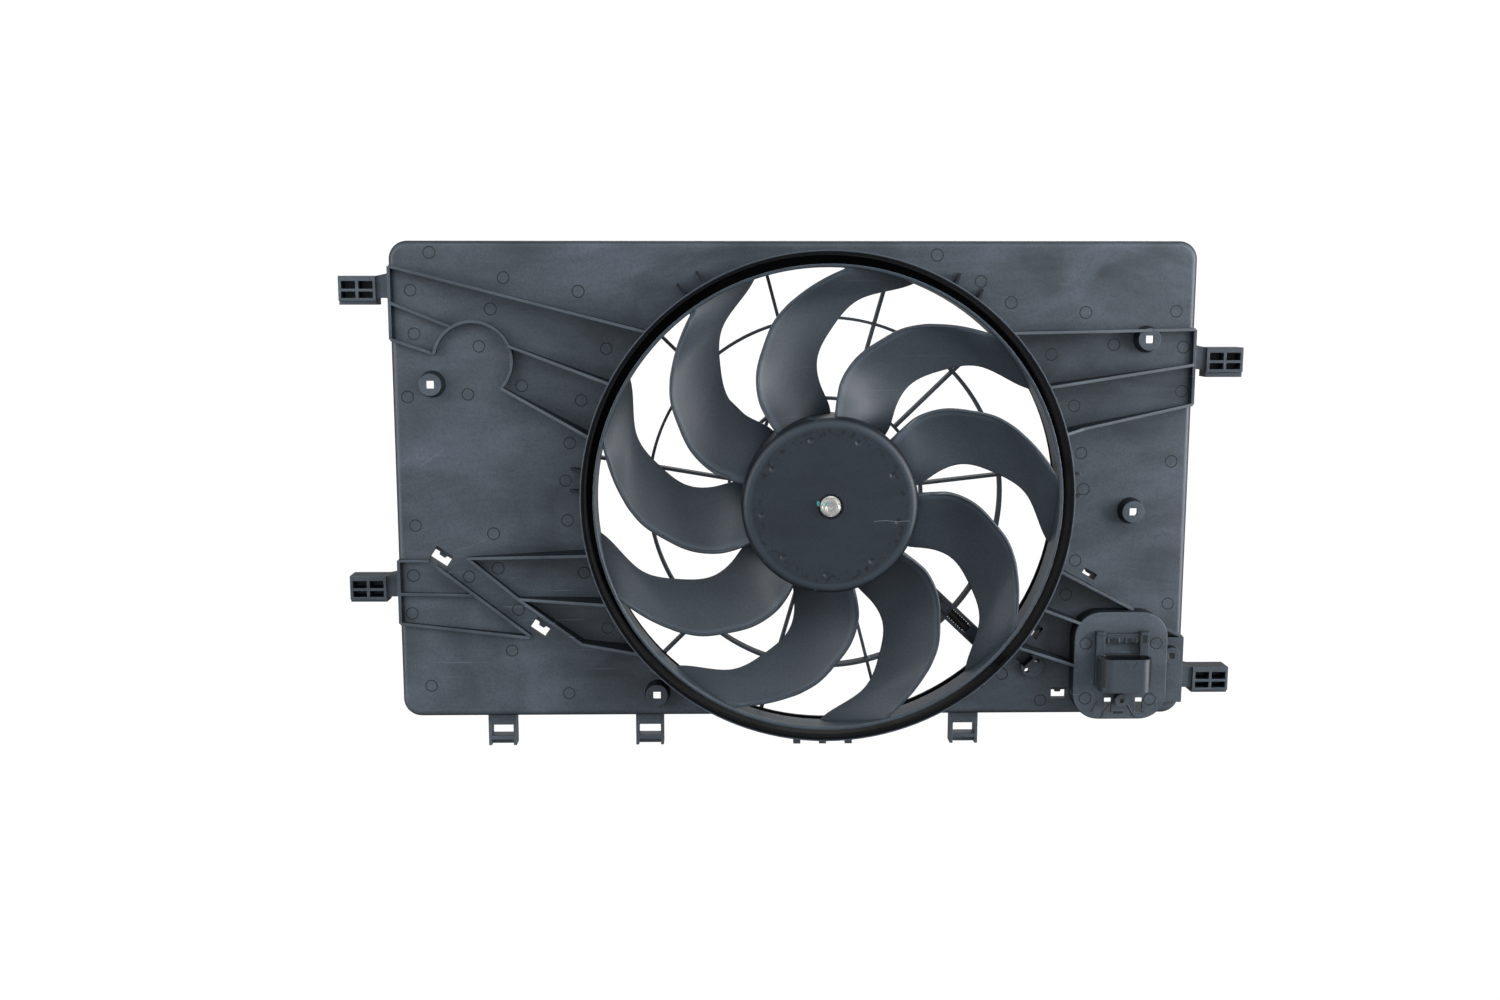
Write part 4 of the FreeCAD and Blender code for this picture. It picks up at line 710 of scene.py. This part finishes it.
steel = bmesh.new()
teeth(steel, TEETH, TOOTH_INNER, TOOTH_OUTER, WASHER_FACE)
turned_profile(steel, (0, NUT_FACE, 0), NUT_CHAMFER, 48)
for i in range(THREAD_TURNS):
    turned_profile(steel, (0, THREAD_START + THREAD_PITCH * i, 0), THREAD, 40)
turned_profile(steel, (0, SHAFT_FACE, 0), SHAFT_TIP, 40)
piece("shaft_end_steel", mesh_from("shaft_end_steel", steel), STEEL, "fan")


# Two dabs of marking paint, on the hub and the nut
DAB_SINK = 0.03


def dab(bm, centre, long, wide, turn, height, rings=5, steps=22):
    """A small uneven blob of paint."""
    wobble = [rng.uniform(0.82, 1.12) for _ in range(steps)]
    wobble = [(wobble[i - 1] + wobble[i] + wobble[(i + 1) % steps]) / 3 for i in range(steps)]
    middle = Vector(centre)
    rows = []
    for k in range(1, rings + 1):
        f = k / rings
        lift = height * (1 - f ** 2.5) - DAB_SINK
        row = []
        for a, reach in zip(around(steps), wobble):
            u, v = f * long * reach * math.cos(a), f * wide * reach * math.sin(a)
            x = u * math.cos(turn) - v * math.sin(turn)
            z = u * math.sin(turn) + v * math.cos(turn)
            row.append(bm.verts.new((middle + Vector((x, -lift, z))) * MM))
        rows.append(row)
    top = bm.verts.new((middle - DEPTH * height) * MM)
    for i in range(steps):
        j = (i + 1) % steps
        bm.faces.new((top, rows[0][i], rows[0][j]))
        for a, b in zip(rows, rows[1:]):
            bm.faces.new((a[i], b[i], b[j], a[j]))


paint = bmesh.new()
dab(paint, (-9.7, HUB_FACE, 2.4), long=2.3, wide=1.35, turn=math.radians(100), height=0.45)
dab(paint, (-3.6, NUT_FACE, 2.9), long=2.3, wide=0.9, turn=math.radians(48), height=0.3)
piece("paint_dabs", mesh_from("paint_dabs", paint, 80.0), PAINT, "fan")


# Light: a big soft light on each side, two above and one behind, all aimed at the fan's centre.
# Each has a place, a size and a power in watts, and isn't seen itself
LIGHTS = {
    "top_left": ((-1.3, -1.0, 1.2), (1.0, 1.0), 7.5),
    "top_right": ((1.3, -1.0, 1.2), (1.0, 1.0), 9.5),
    "right": ((1.6, -0.7, 0.05), (0.8, 1.2), 34.0),
    "left": ((-1.6, -0.7, 0.05), (0.8, 1.2), 13.0),
    "rear": ((0.2, 1.2, 1.15), (1.4, 0.5), 14.0),
}
for name, (place, size, power) in LIGHTS.items():
    data = bpy.data.lights.new(name, "AREA")
    data.shape = "RECTANGLE"
    data.size, data.size_y = size
    data.energy = power
    obj = bpy.data.objects.new(name, data)
    bpy.context.scene.collection.objects.link(obj)
    obj.location = place
    obj.rotation_euler = (-Vector(place)).to_track_quat("-Z", "Y").to_euler()
    obj.visible_camera = False


def surround(below, above):
    """A plain white room that is dimmer below than above."""
    world = bpy.data.worlds.new("studio")
    world.use_nodes = True
    tree = world.node_tree
    place = tree.nodes.new("ShaderNodeTexCoord")
    parts = tree.nodes.new("ShaderNodeSeparateXYZ")
    level = tree.nodes.new("ShaderNodeMapRange")
    for key, value in (("From Min", -1.0), ("From Max", 1.0), ("To Min", below), ("To Max", above)):
        level.inputs[key].default_value = value
    tree.links.new(place.outputs["Generated"], parts.inputs["Vector"])
    tree.links.new(parts.outputs["Z"], level.inputs["Value"])
    shade = tree.nodes["Background"]
    shade.inputs["Color"].default_value = (1.0, 1.0, 1.0, 1.0)
    tree.links.new(level.outputs["Result"], shade.inputs["Strength"])
    bpy.context.scene.world = world


surround(below=0.25, above=0.62)


def sweep(front=-4.0, back=1.6, bend=0.5, rise=2.6, half=4.0, steps=12):
    """A glowing white floor that curves up into a backdrop."""
    floor_z = CAD_BOX[0][2]
    line = [(front, floor_z), (back - bend, floor_z)]
    for i in range(1, steps + 1):
        a = math.radians(90 * i / steps)
        line.append((back - bend + bend * math.sin(a), floor_z + bend - bend * math.cos(a)))
    line.append((back, floor_z + rise))
    bm = bmesh.new()
    left = [bm.verts.new((-half, y, z)) for y, z in line]
    right = [bm.verts.new((half, y, z)) for y, z in line]
    for i in range(len(line) - 1):
        bm.faces.new((left[i], right[i], right[i + 1], left[i + 1]))
    g = Graph("paper")
    g.set("Base Color", g.blend(g.noise(60.0), (0.04, 0.04, 0.04), (0.06, 0.06, 0.06)))
    g.set("Roughness", 0.9)
    g.set("Specular IOR Level", 0.0)
    g.set("Emission Color", (1.0, 1.0, 1.0, 1.0))
    g.set("Emission Strength", 1.0)
    mesh = mesh_from("floor", bm, 60.0)
    mesh.materials.append(g.material)
    obj = bpy.data.objects.new("floor", mesh)
    bpy.context.scene.collection.objects.link(obj)
    obj.visible_diffuse = False
    obj.visible_glossy = False


sweep()
